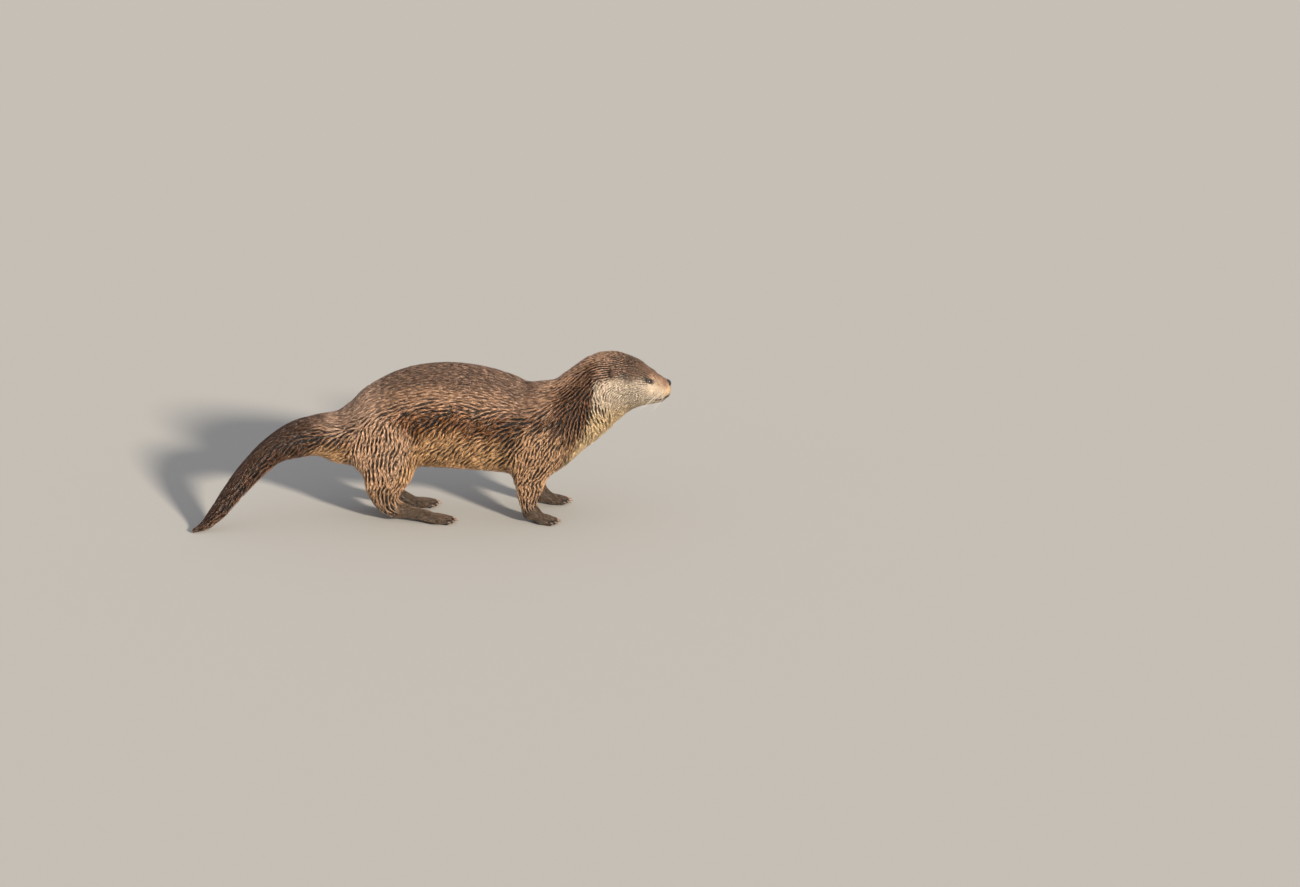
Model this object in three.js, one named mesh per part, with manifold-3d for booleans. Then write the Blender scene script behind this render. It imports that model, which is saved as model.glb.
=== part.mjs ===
// A river otter at life size, standing on all four feet with its back arched, its head carried
// forward and its tail trailing down to the floor. Millimetres, +Z up, the nose towards +X and the
// animal's left towards +Y. The soft body is one blended form, worked out as a field that is
// negative inside and positive outside. That form is meshed, thinned to few triangles, given its
// claws, and parted with thin cuts into the head, neck, torso, tail, legs, paws and ears.

import * as THREE from "three";
import { mergeVertices } from "three/addons/utils/BufferGeometryUtils.js";
import Module from "manifold-3d";

const wasm = await Module();
wasm.setup();

// ---------------------------------------------------------------- driving dimensions

const GAP = 0.3; // between pieces that meet

// The form is drawn a part at a time, each on a grid of its own: the window it is drawn in, the
// spacing of the grid, and the triangles it is thinned to.
const DRAWN = {
  trunk: { window: [[-430, -125, -9], [402, 112, 364]], spacing: 5, triangles: 4300 },
  tail: { window: [[-503, -156, -9], [-345, -24, 150]], spacing: 2.8, triangles: 520 },
  head: { window: [[318, -80, 160], [496, 80, 364]], spacing: 2, triangles: 2700 },
  forepaw_right: { window: [[172, -118, -9], [276, -28, 64]], spacing: 1.9, triangles: 1000 },
  forepaw_left: { window: [[196, 28, -9], [312, 112, 64]], spacing: 1.9, triangles: 1000 },
  hindpaw_right: { window: [[-122, -104, -9], [62, -18, 74]], spacing: 2.1, triangles: 1000 },
  hindpaw_left: { window: [[-136, 14, -9], [26, 100, 92]], spacing: 2.1, triangles: 1000 },
};

// Stations of a limb or trunk are [x, y, z, tall, wide]: a point on its centre line, its half
// size in the upright plane along the body, and its half size across the body.
const TRUNK = [
  [-487, -136, 5, 3.6, 4.2], // tip of the tail, lying on the floor
  [-464, -120, 12.5, 9.5, 10.5],
  [-441, -104, 32, 16, 17],
  [-415, -85, 62, 20, 21],
  [-382, -64, 99, 24, 26],
  [-328, -37, 146, 28, 32],
  [-281, -19, 164, 38, 38],
  [-234, -8, 171, 43, 42],
  [-184, 0, 166, 58, 49], // root of the tail
  [-138, 0, 176, 73, 61],
  [-90, 0, 196, 90, 73],
  [-39, 0, 208, 104, 77],
  [18, 0, 212, 110, 80], // top of the arched back
  [74, 0, 208, 110, 80],
  [131, 0, 197, 105, 78],
  [184, 0, 184, 96, 74],
  [222, 0, 184, 93, 69],
  [252, 0, 178, 74, 59], // front of the chest
];

const NECK = [
  [205, 0, 168, 84, 70],
  [250, 0, 196, 79, 68],
  [285, 0, 216, 75, 66],
  [318, 0, 244, 74, 62],
  [350, 0, 271, 71, 57],
];

const FACE = [
  [352, 0, 283, 61, 53], // back of the skull
  [370, 0, 286, 60, 52],
  [386, 0, 284, 57, 52],
  [405, 0, 280, 53, 50],
  [423, 0, 275, 47, 43],
  [440, 0, 271, 38, 35.5],
  [455, 0, 269, 31.5, 30],
  [468, 0, 268, 26, 26],
  [478, 0, 268, 19, 20],
];

// Each leg's centre line, from inside the trunk down to the wrist or ankle. y grows outwards.
const LEGS = {
  foreleg_right: [
    [236, 36, 204, 54, 36],
    [216, 44, 152, 51, 37],
    [201, 51, 112, 41, 31],
    [198, 55, 76, 29, 24],
    [195, 57, 46, 19, 19],
    [201, 59, 22, 16, 19],
  ],
  foreleg_left: [
    [236, 36, 204, 54, 36],
    [218, 44, 152, 51, 37],
    [206, 52, 112, 41, 31],
    [206, 58, 76, 29, 24],
    [210, 63, 45, 19, 19],
    [222, 67, 21, 15, 19],
  ],
  hindleg_right: [
    [-98, 34, 196, 60, 42],
    [-99, 40, 140, 64, 43],
    [-94, 45, 102, 54, 37],
    [-98, 48, 68, 39, 28],
    [-92, 50, 40, 26, 21],
    [-74, 51, 23, 16, 18],
  ],
  hindleg_left: [
    [-98, 34, 196, 60, 42],
    [-101, 40, 146, 60, 43],
    [-108, 45, 101, 53, 37],
    [-110, 47, 72, 36, 27],
    [-100, 47, 50, 22, 20],
    [-80, 46, 37, 15, 17],
  ],
};

// Each paw: the wrist or ankle end, the ball on the floor, the way the toes point (degrees
// outwards), the reach of the middle toe past the ball, and the half angle of the whole fan.
const PAWS = {
  forepaw_right: { side: -1, from: [199, 58, 22], ball: [220, 62], turn: 16, reach: 34, fan: 31 },
  forepaw_left: { side: 1, from: [219, 67, 20], ball: [241, 71], turn: 4, reach: 34, fan: 31 },
  hindpaw_right: { side: -1, from: [-78, 50, 26], ball: [-8, 56], turn: 7, reach: 50, fan: 24 },
  hindpaw_left: { side: 1, from: [-96, 46, 44], ball: [-44, 50], turn: 6, reach: 50, fan: 24 },
};
const TOES = 5;
const TOE_RADIUS = 5.4;
const CLAW = { length: 11, radius: 2, droop: 16 };

const EYE = { at: [443, 27, 291], radius: 6.2, lid: 2, gaze: [0.5, 0.8, 0.28], slit: [7.6, 3.4] };
const EAR = { at: [369, 47, 309], half: [5.5, 11, 13.5], lean: -14, flare: 30 };
const NOSE = { at: [479, 279], half: [8.5, 11.2, 8.6], nostril: 2.4 };

// The line of the mouth, from the front lip to its corner: [x, z].
const MOUTH = [
  [484, 259],
  [477, 255],
  [468, 251],
  [458, 249.5],
  [448, 251.5],
  [440, 256],
];
const LIP_GROOVE = 1.5;

// Where the legs are parted from the torso: an arch in each flank, and a box under the belly.
const LEG_ROOMS = {
  foreleg: { x: 222, z: 150, radius: 56, belly: 80, from: 120, to: 340, inside: 27 },
  hindleg: { x: -100, z: 158, radius: 66, belly: 98, from: -260, to: 110, inside: 27 },
};

// Where the paws are parted from the legs: a point on the cut, and the way it faces from +X.
const ANKLES = {
  forepaw_right: { leg: "foreleg_right", at: [199, 33], angle: -70 },
  forepaw_left: { leg: "foreleg_left", at: [214, 33], angle: -56 },
  hindpaw_right: { leg: "hindleg_right", at: [-74, 32], angle: -42 },
  hindpaw_left: { leg: "hindleg_left", at: [-90, 44], angle: -36 },
};

// ---------------------------------------------------------------- field tools

// The lower of two fields, rounded over a width k where they meet.
function blend(a, b, k) {
  const h = Math.max(k - Math.abs(a - b), 0) / k;
  return Math.min(a, b) - (h * h * k) / 4;
}

// Field a with field b taken out of it.
const carve = (a, b, k) => -blend(-a, b, k);

// Distance to an ellipsoid at the origin with half sizes rx, ry, rz.
function ellipsoid(x, y, z, [rx, ry, rz]) {
  const near = Math.hypot(x / rx, y / ry, z / rz);
  const slope = Math.hypot(x / rx ** 2, y / ry ** 2, z / rz ** 2);
  return near < 1e-6 ? -Math.min(rx, ry, rz) : (near * (near - 1)) / slope;
}

const STEPS_PER_STATION = 7;

// A smooth body drawn through stations, as a field with the box that holds it.
function sweep(stations, endRound = 0.8) {
  const smooth = (pick) => new THREE.CatmullRomCurve3(stations.map(pick), false, "centripetal");
  const line = smooth(([x, y, z]) => new THREE.Vector3(x, y, z));
  const count = (stations.length - 1) * STEPS_PER_STATION;
  const rings = [];
  for (let i = 0; i <= count; i++) {
    const t = (i / count) * (stations.length - 1);
    const k = Math.min(Math.floor(t), stations.length - 2);
    const f = t - k;
    const size = (j) => {
      const [a, b, c, d] = [k - 1, k, k + 1, k + 2].map(
        (n) => stations[THREE.MathUtils.clamp(n, 0, stations.length - 1)][j],
      );
      return b + 0.5 * f * (c - a + f * (2 * a - 5 * b + 4 * c - d + f * (3 * (b - c) + d - a)));
    };
    const p = line.getPoint(i / count);
    const along = line.getTangent(i / count);
    const across = new THREE.Vector3(0, 1, 0).addScaledVector(along, -along.y).normalize();
    const up = new THREE.Vector3().crossVectors(along, across);
    rings.push({ p, along, across, up, tall: size(3), wide: size(4) });
  }
  const reach = Math.max(...stations.map((s) => Math.max(s[3], s[4])));
  const box = new THREE.Box3().setFromPoints(rings.map((r) => r.p)).expandByScalar(reach);

  function field(x, y, z) {
    let best = Infinity;
    let at = 0;
    for (let i = 0; i < rings.length; i++) {
      const { p } = rings[i];
      const d = (x - p.x) ** 2 + (y - p.y) ** 2 + (z - p.z) ** 2;
      if (d < best) {
        best = d;
        at = i;
      }
    }
    // From the nearest ring, walk to the span whose two rings have the point between them.
    const past = ({ p, along }) => (x - p.x) * along.x + (y - p.y) * along.y + (z - p.z) * along.z;
    let t = past(rings[at]);
    const step = t > 0 ? 1 : -1;
    let next = rings[at + step];
    let beyond = next && past(next);
    while (next && beyond * step > 0) {
      at += step;
      t = beyond;
      next = rings[at + step];
      beyond = next && past(next);
    }
    const near = rings[at];
    const share = next ? t / (t - beyond) : 0;
    next ??= near;
    const lerp = (a, b) => a + (b - a) * share;
    const dx = x - lerp(near.p.x, next.p.x);
    const dy = y - lerp(near.p.y, next.p.y);
    const dz = z - lerp(near.p.z, next.p.z);
    const onto = (a, b) => dx * lerp(a.x, b.x) + dy * lerp(a.y, b.y) + dz * lerp(a.z, b.z);
    const u = onto(near.up, next.up);
    const v = onto(near.across, next.across);
    const tall = lerp(near.tall, next.tall);
    const wide = lerp(near.wide, next.wide);
    t = Math.sqrt(Math.max(dx * dx + dy * dy + dz * dz - u * u - v * v, 0));
    return ellipsoid(t, v, u, [Math.min(tall, wide) * endRound, wide, tall]);
  }
  return { field, box };
}

// ---------------------------------------------------------------- the soft form

const mirrored = (stations, side) => stations.map(([x, y, ...rest]) => [x, y * side, ...rest]);
const radians = THREE.MathUtils.degToRad;

// The toes of one paw, each with its root at the ball and its tip flat on the floor.
function toesOf({ side, ball, turn, reach, fan }) {
  return Array.from({ length: TOES }, (_, i) => {
    const place = (2 * i) / (TOES - 1) - 1; // from -1, the inner toe, to 1, the outer
    const way = radians(turn + place * fan);
    const long = reach * (1 - 0.17 * (place - 0.15) ** 2);
    const spot = (d, z, r) => [
      ball[0] + Math.cos(way) * d,
      (ball[1] + Math.sin(way) * d + place * 4) * side,
      z,
      r,
      r * 1.04,
    ];
    return {
      way: way * side,
      tip: spot(long, 5.4, 0),
      stations: [
        spot(-0.05 * long, 10, TOE_RADIUS),
        spot(0.4 * long, 11, TOE_RADIUS),
        spot(0.75 * long, 8, TOE_RADIUS * 0.96),
        spot(long, 4.9, TOE_RADIUS * 0.98),
      ],
    };
  });
}

// The palm or sole, from the wrist or ankle to the ball.
function palmOf({ side, from, ball, reach }) {
  const [x, y, z] = from;
  const back = [x, y * side, z, 15, 17];
  const middle = [(x + ball[0]) / 2, ((y + ball[1]) / 2) * side, z * 0.42 + 8, 12, 19];
  const under = [ball[0], ball[1] * side, 11, 10.5, 23];
  const front = [ball[0] + reach * 0.16, ball[1] * side, 9.5, 7, 24];
  return [back, middle, under, front];
}

// The web between the toes, a thin plate under the fan.
function webOf({ side, ball, turn, reach }) {
  const way = radians(turn) * side;
  const middle = [ball[0] + Math.cos(way) * reach * 0.38, ball[1] * side + Math.sin(way) * reach * 0.38];
  const half = [reach * 0.5, reach * 0.24 + 19, 2.6];
  const box = new THREE.Box3(new THREE.Vector3(-60, -60, -4), new THREE.Vector3(60, 60, 12));
  box.translate(new THREE.Vector3(middle[0], middle[1], 0));
  const field = (x, y, z) => {
    const dx = x - middle[0];
    const dy = y - middle[1];
    const along = dx * Math.cos(way) + dy * Math.sin(way);
    const across = dy * Math.cos(way) - dx * Math.sin(way);
    return ellipsoid(along, across, z - 5.2, half);
  };
  return { field, box };
}

const paws = Object.entries(PAWS).map(([name, paw]) => ({ name, toes: toesOf(paw), paw }));

// Everything but the head's features, in the order in which it is blended on.
const flesh = [
  { ...sweep(TRUNK), k: 1 },
  { ...sweep(NECK), k: 30 },
  { ...sweep(FACE, 0.55), k: 20 },
  ...Object.entries(LEGS).map(([name, line]) => ({
    ...sweep(mirrored(line, name.endsWith("left") ? 1 : -1)),
    k: 30,
  })),
  ...paws.flatMap(({ paw, toes }) => [
    { ...sweep(palmOf(paw)), k: 9 },
    { ...webOf(paw), k: 4 },
    ...toes.map(({ stations }) => ({ ...sweep(stations), k: 4 })),
  ]),
];

const gaze = new THREE.Vector3(...EYE.gaze).normalize();

// Turns a point near an ear into the ear's own frame: across its blade, along it, and up it.
const earTurn = new THREE.Quaternion()
  .setFromEuler(new THREE.Euler(radians(-EAR.flare), 0, radians(EAR.lean), "XYZ"))
  .invert();
const earPoint = new THREE.Vector3();

// The head's own forms. y is taken as positive, so that both sides are alike.
function withFeatures(form, x, y, z) {
  let f = form;
  const side = Math.abs(y);
  // whisker pads, chin, cheeks and brow
  f = blend(f, ellipsoid(x - 465, side - 15.5, z - 264, [18, 14.5, 13]), 9);
  f = blend(f, ellipsoid(x - 457, side, z - 249, [18, 15, 8.5]), 8);
  f = blend(f, ellipsoid(x - 404, side - 28, z - 268, [36, 25, 30]), 16);
  f = blend(f, ellipsoid(x - 438, side - 19, z - 298, [18, 11, 8]), 10);
  // bed of the nose pad
  f = blend(f, ellipsoid(x - NOSE.at[0] + 4, side, z - NOSE.at[1] + 1, [9, 14, 10]), 5);
  // lids over the eyeball
  f = blend(f, Math.hypot(x - EYE.at[0], side - EYE.at[1], z - EYE.at[2]) - EYE.radius - EYE.lid, 6);
  // the ear, a rounded blade with a cup in its front
  earPoint.set(x - EAR.at[0], side - EAR.at[1], z - EAR.at[2]).applyQuaternion(earTurn);
  const { x: ax, y: ay, z: az } = earPoint;
  const [thick, wide, tall] = EAR.half;
  const blade = ellipsoid(ax, ay, az - 4, EAR.half);
  const cup = ellipsoid(ax - thick, ay, az - 6, [thick * 0.9, wide - 2.6, tall - 3.6]);
  return blend(f, carve(blade, cup, 1.5), 5);
}

const HEAD_FROM = 350; // the features lie ahead of this x
const OUT_OF_REACH = 45; // past this, a form no longer bends the field

function body(x, y, z) {
  let f = 1e3;
  for (const { field, box, k } of flesh) {
    const away = Math.max(
      box.min.x - x,
      x - box.max.x,
      box.min.y - y,
      y - box.max.y,
      box.min.z - z,
      z - box.max.z,
    );
    if (away > OUT_OF_REACH || away > f + k) continue;
    f = blend(f, field(x, y, z), k);
  }
  return x > HEAD_FROM && z > 200 ? withFeatures(f, x, y, z) : f;
}

// ---------------------------------------------------------------- from field to mesh

const CORNERS = Array.from({ length: 8 }, (_, n) => [n & 1, (n >> 1) & 1, n >> 2]);

// The six tetrahedra of a cube, each a walk along its edges from corner 0 to corner 7.
const WALKS = [
  [1, 3, 7],
  [1, 5, 7],
  [2, 3, 7],
  [2, 6, 7],
  [4, 5, 7],
  [4, 6, 7],
];

// Draws the surface where the field is zero inside a window, closed off at the window's sides.
function polygonise(field, [low, high], step) {
  const [nx, ny, nz] = low.map((c, m) => Math.ceil((high[m] - c) / step) + 1);
  const at = (i, j, k) => [low[0] + i * step, low[1] + j * step, low[2] + k * step];
  const values = new Float64Array(nx * ny * nz).fill(step);
  for (let k = 1; k < nz - 1; k++)
    for (let j = 1; j < ny - 1; j++)
      for (let i = 1; i < nx - 1; i++) values[i + nx * (j + ny * k)] = field(...at(i, j, k));
  const points = [];
  const faces = [];
  const cuts = new Map();
  const cut = (a, b) => {
    const key = a.n < b.n ? a.n * values.length + b.n : b.n * values.length + a.n;
    if (!cuts.has(key)) {
      const t = THREE.MathUtils.clamp(a.v / (a.v - b.v), 0.04, 0.96);
      cuts.set(key, points.length);
      points.push(a.p.map((c, m) => c + (b.p[m] - c) * t));
    }
    return cuts.get(key);
  };
  // Adds a triangle, turned so that its normal points out of the low corner.
  const add = (a, b, c, low) => {
    const [p, q, r] = [a, b, c].map((n) => new THREE.Vector3(...points[n]));
    const normal = q.clone().sub(p).cross(r.sub(p));
    faces.push(normal.dot(p.sub(low)) > 0 ? [a, b, c] : [a, c, b]);
  };
  const cube = (i, j, k) => {
    const places = CORNERS.map(([a, b, c]) => i + a + nx * (j + b + ny * (k + c)));
    const inside = places.filter((n) => values[n] < 0).length;
    if (inside === 0 || inside === 8) return;
    const corners = CORNERS.map(([a, b, c], m) => {
      const n = places[m];
      return { n, v: values[n], p: at(i + a, j + b, k + c) };
    });
    for (const walk of WALKS) {
      const four = [0, ...walk].map((c) => corners[c]);
      const ins = four.filter((c) => c.v < 0);
      const outs = four.filter((c) => c.v >= 0);
      if (!ins.length || !outs.length) continue;
      const low = new THREE.Vector3(...ins[0].p);
      if (ins.length === 2) {
        const [first, second] = ins.map((inner) => outs.map((outer) => cut(inner, outer)));
        const ring = [...first, ...second.reverse()];
        add(ring[0], ring[1], ring[2], low);
        add(ring[0], ring[2], ring[3], low);
      } else {
        const [one, three] = ins.length === 1 ? [ins[0], outs] : [outs[0], ins];
        add(...three.map((c) => cut(one, c)), low);
      }
    }
  };
  for (let k = 0; k < nz - 1; k++)
    for (let j = 0; j < ny - 1; j++) for (let i = 0; i < nx - 1; i++) cube(i, j, k);
  return { points, faces };
}

// ---------------------------------------------------------------- thinning the mesh

const sub = (a, b) => [a[0] - b[0], a[1] - b[1], a[2] - b[2]];
const dot = (a, b) => a[0] * b[0] + a[1] * b[1] + a[2] * b[2];
const cross = (a, b) => [a[1] * b[2] - a[2] * b[1], a[2] * b[0] - a[0] * b[2], a[0] * b[1] - a[1] * b[0]];
const size = (a) => Math.sqrt(dot(a, a));
const normalOf = (a, b, c) => cross(sub(b, a), sub(c, a));

// How far p is off the planes that a quadric sums up.
const error = (q, [x, y, z]) =>
  x * (q[0] * x + 2 * (q[1] * y + q[2] * z + q[3])) +
  y * (q[4] * y + 2 * (q[5] * z + q[6])) +
  z * (q[7] * z + 2 * q[8]) +
  q[9];

// The point of least error for an edge from a to b, or the best of three where it isn't well set.
function settle(q, a, b) {
  const rows = [[q[0], q[1], q[2]], [q[1], q[4], q[5]], [q[2], q[5], q[7]]];
  const minor = cross(rows[1], rows[2]);
  const det = dot(rows[0], minor);
  const middle = [(a[0] + b[0]) / 2, (a[1] + b[1]) / 2, (a[2] + b[2]) / 2];
  if (Math.abs(det) > 1e-5 * (q[0] + q[4] + q[7]) ** 3) {
    const right = [-q[3], -q[6], -q[8]];
    const [u, v] = [cross(rows[2], rows[0]), cross(rows[0], rows[1])];
    const p = [0, 1, 2].map((m) => (right[0] * minor[m] + right[1] * u[m] + right[2] * v[m]) / det);
    if (size(sub(p, middle)) < 1.2 * size(sub(a, b))) return p;
  }
  return [a, b, middle].sort((p, r) => error(q, p) - error(q, r))[0];
}

// A queue that gives the item of least cost first.
class Queue {
  items = [];

  add(item) {
    const { items } = this;
    let i = items.push(item) - 1;
    for (let up = (i - 1) >> 1; i > 0 && items[up].cost > item.cost; up = (i - 1) >> 1) {
      items[i] = items[up];
      i = up;
    }
    items[i] = item;
  }

  take() {
    const { items } = this;
    const first = items[0];
    const last = items.pop();
    if (!items.length) return first;
    let i = 0;
    for (let down = 1; down < items.length; down = 2 * i + 1) {
      if (down + 1 < items.length && items[down + 1].cost < items[down].cost) down++;
      if (items[down].cost >= last.cost) break;
      items[i] = items[down];
      i = down;
    }
    items[i] = last;
    return first;
  }
}

// Joins short edges, cheapest first, until the wanted number of triangles is left. An edge's cost
// is how far its loss moves the surface off the planes that it stood for.
function thin({ points, faces }, wanted) {
  const quadrics = points.map(() => new Float64Array(10));
  const around = points.map(() => new Set());
  const version = new Int32Array(points.length);
  faces.forEach((face, n) => {
    const [a, b, c] = face.map((v) => points[v]);
    const normal = normalOf(a, b, c);
    const area = size(normal) || 1e-12;
    const [x, y, z] = normal.map((v) => v / area);
    const d = -dot([x, y, z], a);
    const terms = [x * x, x * y, x * z, x * d, y * y, y * z, y * d, z * z, z * d, d * d];
    for (const v of face) {
      around[v].add(n);
      terms.forEach((t, m) => (quadrics[v][m] += t * area));
    }
  });
  const queue = new Queue();
  const offer = (a, b) => {
    const q = quadrics[a].map((v, m) => v + quadrics[b][m]);
    const p = settle(q, points[a], points[b]);
    const cost = Math.max(error(q, p), 0) + 1e-3 * size(sub(points[a], points[b])) ** 2;
    queue.add({ cost, a, b, p, q, seen: version[a] + version[b] });
  };
  const neighbours = (v) => {
    const set = new Set();
    for (const n of around[v]) for (const w of faces[n]) if (w !== v) set.add(w);
    return set;
  };
  // True if moving v to p turns one of its faces over or makes it a sliver.
  const folds = (v, other, p) => {
    for (const n of around[v]) {
      const face = faces[n];
      if (face.includes(other)) continue;
      const m = face.indexOf(v);
      const [r, s] = [points[face[(m + 1) % 3]], points[face[(m + 2) % 3]]];
      const [before, after] = [normalOf(points[v], r, s), normalOf(p, r, s)];
      const [old, now] = [size(before), size(after)];
      if (dot(before, after) < 0.3 * old * now && old > 0.02) return true;
      const longest = Math.max(size(sub(p, r)), size(sub(p, s)), size(sub(r, s)));
      if (now < 0.06 * longest ** 2 && now < old) return true;
    }
    return false;
  };
  let left = faces.length;
  const gone = new Set();
  for (const face of faces)
    face.forEach((a, m) => {
      const b = face[(m + 1) % 3];
      if (a < b) offer(a, b);
    });
  while (left > wanted && queue.items.length) {
    const { a, b, p, q, seen } = queue.take();
    if (!around[a].size || !around[b].size || seen !== version[a] + version[b]) continue;
    const near = neighbours(a);
    let shared = 0;
    for (const v of neighbours(b)) shared += near.has(v);
    if (shared !== 2 || near.size < 4 || folds(a, b, p) || folds(b, a, p)) continue;
    points[a] = p;
    quadrics[a] = q;
    version[a]++;
    for (const n of around[b]) {
      if (faces[n].includes(a)) {
        gone.add(n);
        left--;
        for (const v of faces[n]) around[v].delete(n);
      } else {
        faces[n] = faces[n].map((v) => (v === b ? a : v));
        around[a].add(n);
      }
    }
    around[b].clear();
    for (const v of neighbours(a)) offer(a, v);
  }
  return { points, faces: faces.filter((_, n) => !gone.has(n)) };
}

// ---------------------------------------------------------------- solids

const SIDES = [["left", 1], ["right", -1]];
const FAR = 2000;

const solidOf = ({ points, faces }) =>
  new wasm.Manifold(
    new wasm.Mesh({
      numProp: 3,
      vertProperties: new Float32Array(points.flat()),
      triVerts: new Uint32Array(faces.flat()),
    }),
  );

// A three.js geometry as a solid, after it is put in place.
function solidFrom(geometry, place = new THREE.Matrix4()) {
  const bare = geometry.clone().applyMatrix4(place);
  bare.deleteAttribute("normal");
  bare.deleteAttribute("uv");
  const { index, attributes } = mergeVertices(bare, 1e-4);
  return new wasm.Manifold(
    new wasm.Mesh({
      numProp: 3,
      vertProperties: attributes.position.array,
      triVerts: new Uint32Array(index.array),
    }),
  );
}

function box([x0, x1], [y0, y1], [z0, z1]) {
  const geometry = new THREE.BoxGeometry(x1 - x0, y1 - y0, z1 - z0);
  const middle = new THREE.Matrix4().makeTranslation((x0 + x1) / 2, (y0 + y1) / 2, (z0 + z1) / 2);
  return solidFrom(geometry, middle);
}

// A round rod along a curve, with flat ends.
function tube(curve, count, radius) {
  const sides = 6;
  const { tangents, normals, binormals } = curve.computeFrenetFrames(count, false);
  const points = [];
  const faces = [];
  for (let i = 0; i <= count; i++) {
    const at = curve.getPointAt(i / count);
    for (let n = 0; n < sides; n++) {
      const angle = (2 * Math.PI * n) / sides;
      const rim = at.clone().addScaledVector(normals[i], Math.cos(angle) * radius);
      points.push(rim.addScaledVector(binormals[i], Math.sin(angle) * radius).toArray());
    }
  }
  for (let i = 0; i < count; i++)
    for (let n = 0; n < sides; n++) {
      const [a, b] = [i * sides + n, i * sides + ((n + 1) % sides)];
      faces.push([a, b, b + sides], [a, b + sides, a + sides]);
    }
  for (let n = 1; n < sides - 1; n++) {
    const end = count * sides;
    faces.push([0, n + 1, n], [end, end + n, end + n + 1]);
  }
  return solidOf({ points, faces });
}

const largest = (solid) => solid.decompose().sort((a, b) => b.volume() - a.volume())[0];
const floor = box([-FAR, FAR], [-FAR, FAR], [-50, 0]);

const pieces = {};
for (const [name, { window, spacing, triangles }] of Object.entries(DRAWN))
  pieces[name] = solidOf(thin(polygonise(body, window, spacing), triangles));

// Claws: a short drooping cone out of each toe's tip.
const cone = new THREE.ConeGeometry(CLAW.radius, CLAW.length, 6)
  .rotateZ(-Math.PI / 2)
  .translate(CLAW.length / 2, 0, 0);
for (const { name, toes } of paws)
  for (const { tip, way } of toes) {
    const place = new THREE.Matrix4()
      .makeTranslation(tip[0] + Math.cos(way) * 0.6, tip[1] + Math.sin(way) * 0.6, tip[2] + 1.2)
      .multiply(new THREE.Matrix4().makeRotationZ(way))
      .multiply(new THREE.Matrix4().makeRotationY(radians(CLAW.droop)));
    pieces[name] = pieces[name].add(solidFrom(cone, place));
  }

// The soles and the tail's tip stand on small flats at z = 0.
for (const name of Object.keys(pieces)) pieces[name] = largest(pieces[name].subtract(floor));

// ---------------------------------------------------------------- eyes and nose

for (const [name, side] of SIDES) {
  const [x, y, z] = EYE.at;
  const place = new THREE.Matrix4().makeTranslation(x, y * side, z);
  pieces[`eye_${name}`] = solidFrom(new THREE.IcosahedronGeometry(EYE.radius, 2), place);
  pieces.head = pieces.head.subtract(solidFrom(new THREE.IcosahedronGeometry(EYE.radius + GAP, 2), place));
  // the lids part along a slit that slopes down towards the nose
  const look = new THREE.Vector3(gaze.x, gaze.y * side, gaze.z);
  const along = new THREE.Vector3(1, 0, -0.32).projectOnPlane(look).normalize();
  const open = new THREE.Matrix4()
    .makeBasis(along, look, new THREE.Vector3().crossVectors(along, look))
    .setPosition(look.clone().multiplyScalar(EYE.radius).add(new THREE.Vector3(x, y * side, z)));
  const slit = new THREE.SphereGeometry(1, 12, 8).scale(EYE.slit[0], 9, EYE.slit[1]);
  pieces.head = pieces.head.subtract(solidFrom(slit, open));
}

// The mouth is a fine groove round the muzzle, on the skin between the lips.
const lipAt = ([x, z], side) => {
  let y = 0;
  while (body(x, y, z) < 0) y += 0.5;
  return new THREE.Vector3(x, y * side, z);
};
const lips = [...MOUTH.map((p) => lipAt(p, 1)).reverse(), ...MOUTH.map((p) => lipAt(p, -1))];
const lipLine = new THREE.CatmullRomCurve3(lips, false, "centripetal");
pieces.head = pieces.head.subtract(tube(lipLine, 40, LIP_GROOVE));

// The bare pad, set into the end of the muzzle, with two nostrils.
const padAt = new THREE.Matrix4().makeTranslation(NOSE.at[0] + 1, 0, NOSE.at[1]);
const padSphere = (grow) =>
  solidFrom(new THREE.SphereGeometry(1, 14, 9).scale(...NOSE.half.map((half) => half + grow)), padAt);
pieces.head = largest(pieces.head.subtract(padSphere(GAP)));
const nostril = new THREE.SphereGeometry(NOSE.nostril, 8, 6).scale(1.6, 1.25, 0.8);
const nostrilAt = (side) =>
  new THREE.Matrix4()
    .makeTranslation(NOSE.at[0] + NOSE.half[0] * 0.82, side * NOSE.half[1] * 0.5, NOSE.at[1] + 0.5)
    .multiply(new THREE.Matrix4().makeRotationX(radians(-22 * side)));
const nostrils = SIDES.map(([, side]) => solidFrom(nostril, nostrilAt(side)));
pieces.nose_pad = largest(nostrils.reduce((solid, hole) => solid.subtract(hole), padSphere(0)));

// ---------------------------------------------------------------- parting with thin cuts

// The two sides of a flat cut through a point: what lies past it, the way it faces, and the rest.
function sidesOf(at, facing, window = FAR) {
  const turn = new THREE.Quaternion().setFromUnitVectors(new THREE.Vector3(0, 0, 1), facing.normalize());
  const turned = new THREE.Matrix4().makeRotationFromQuaternion(turn);
  const place = new THREE.Matrix4().makeTranslation(...at).multiply(turned);
  const slab = (start, grow) => {
    const block = new THREE.BoxGeometry(window + grow, window + grow, FAR);
    return solidFrom(block.translate(0, 0, FAR / 2 + start), place);
  };
  const [past, beyond] = [slab(GAP / 2, 0), slab(-GAP / 2, 2 * GAP)];
  return {
    past: (name) => largest(pieces[name].intersect(past)),
    rest: (name) => largest(pieces[name].subtract(beyond)),
  };
}

// A direction in the upright plane along the body, so many degrees up from +X.
const upFromX = (angle) => new THREE.Vector3(Math.cos(radians(angle)), 0, Math.sin(radians(angle)));

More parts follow.
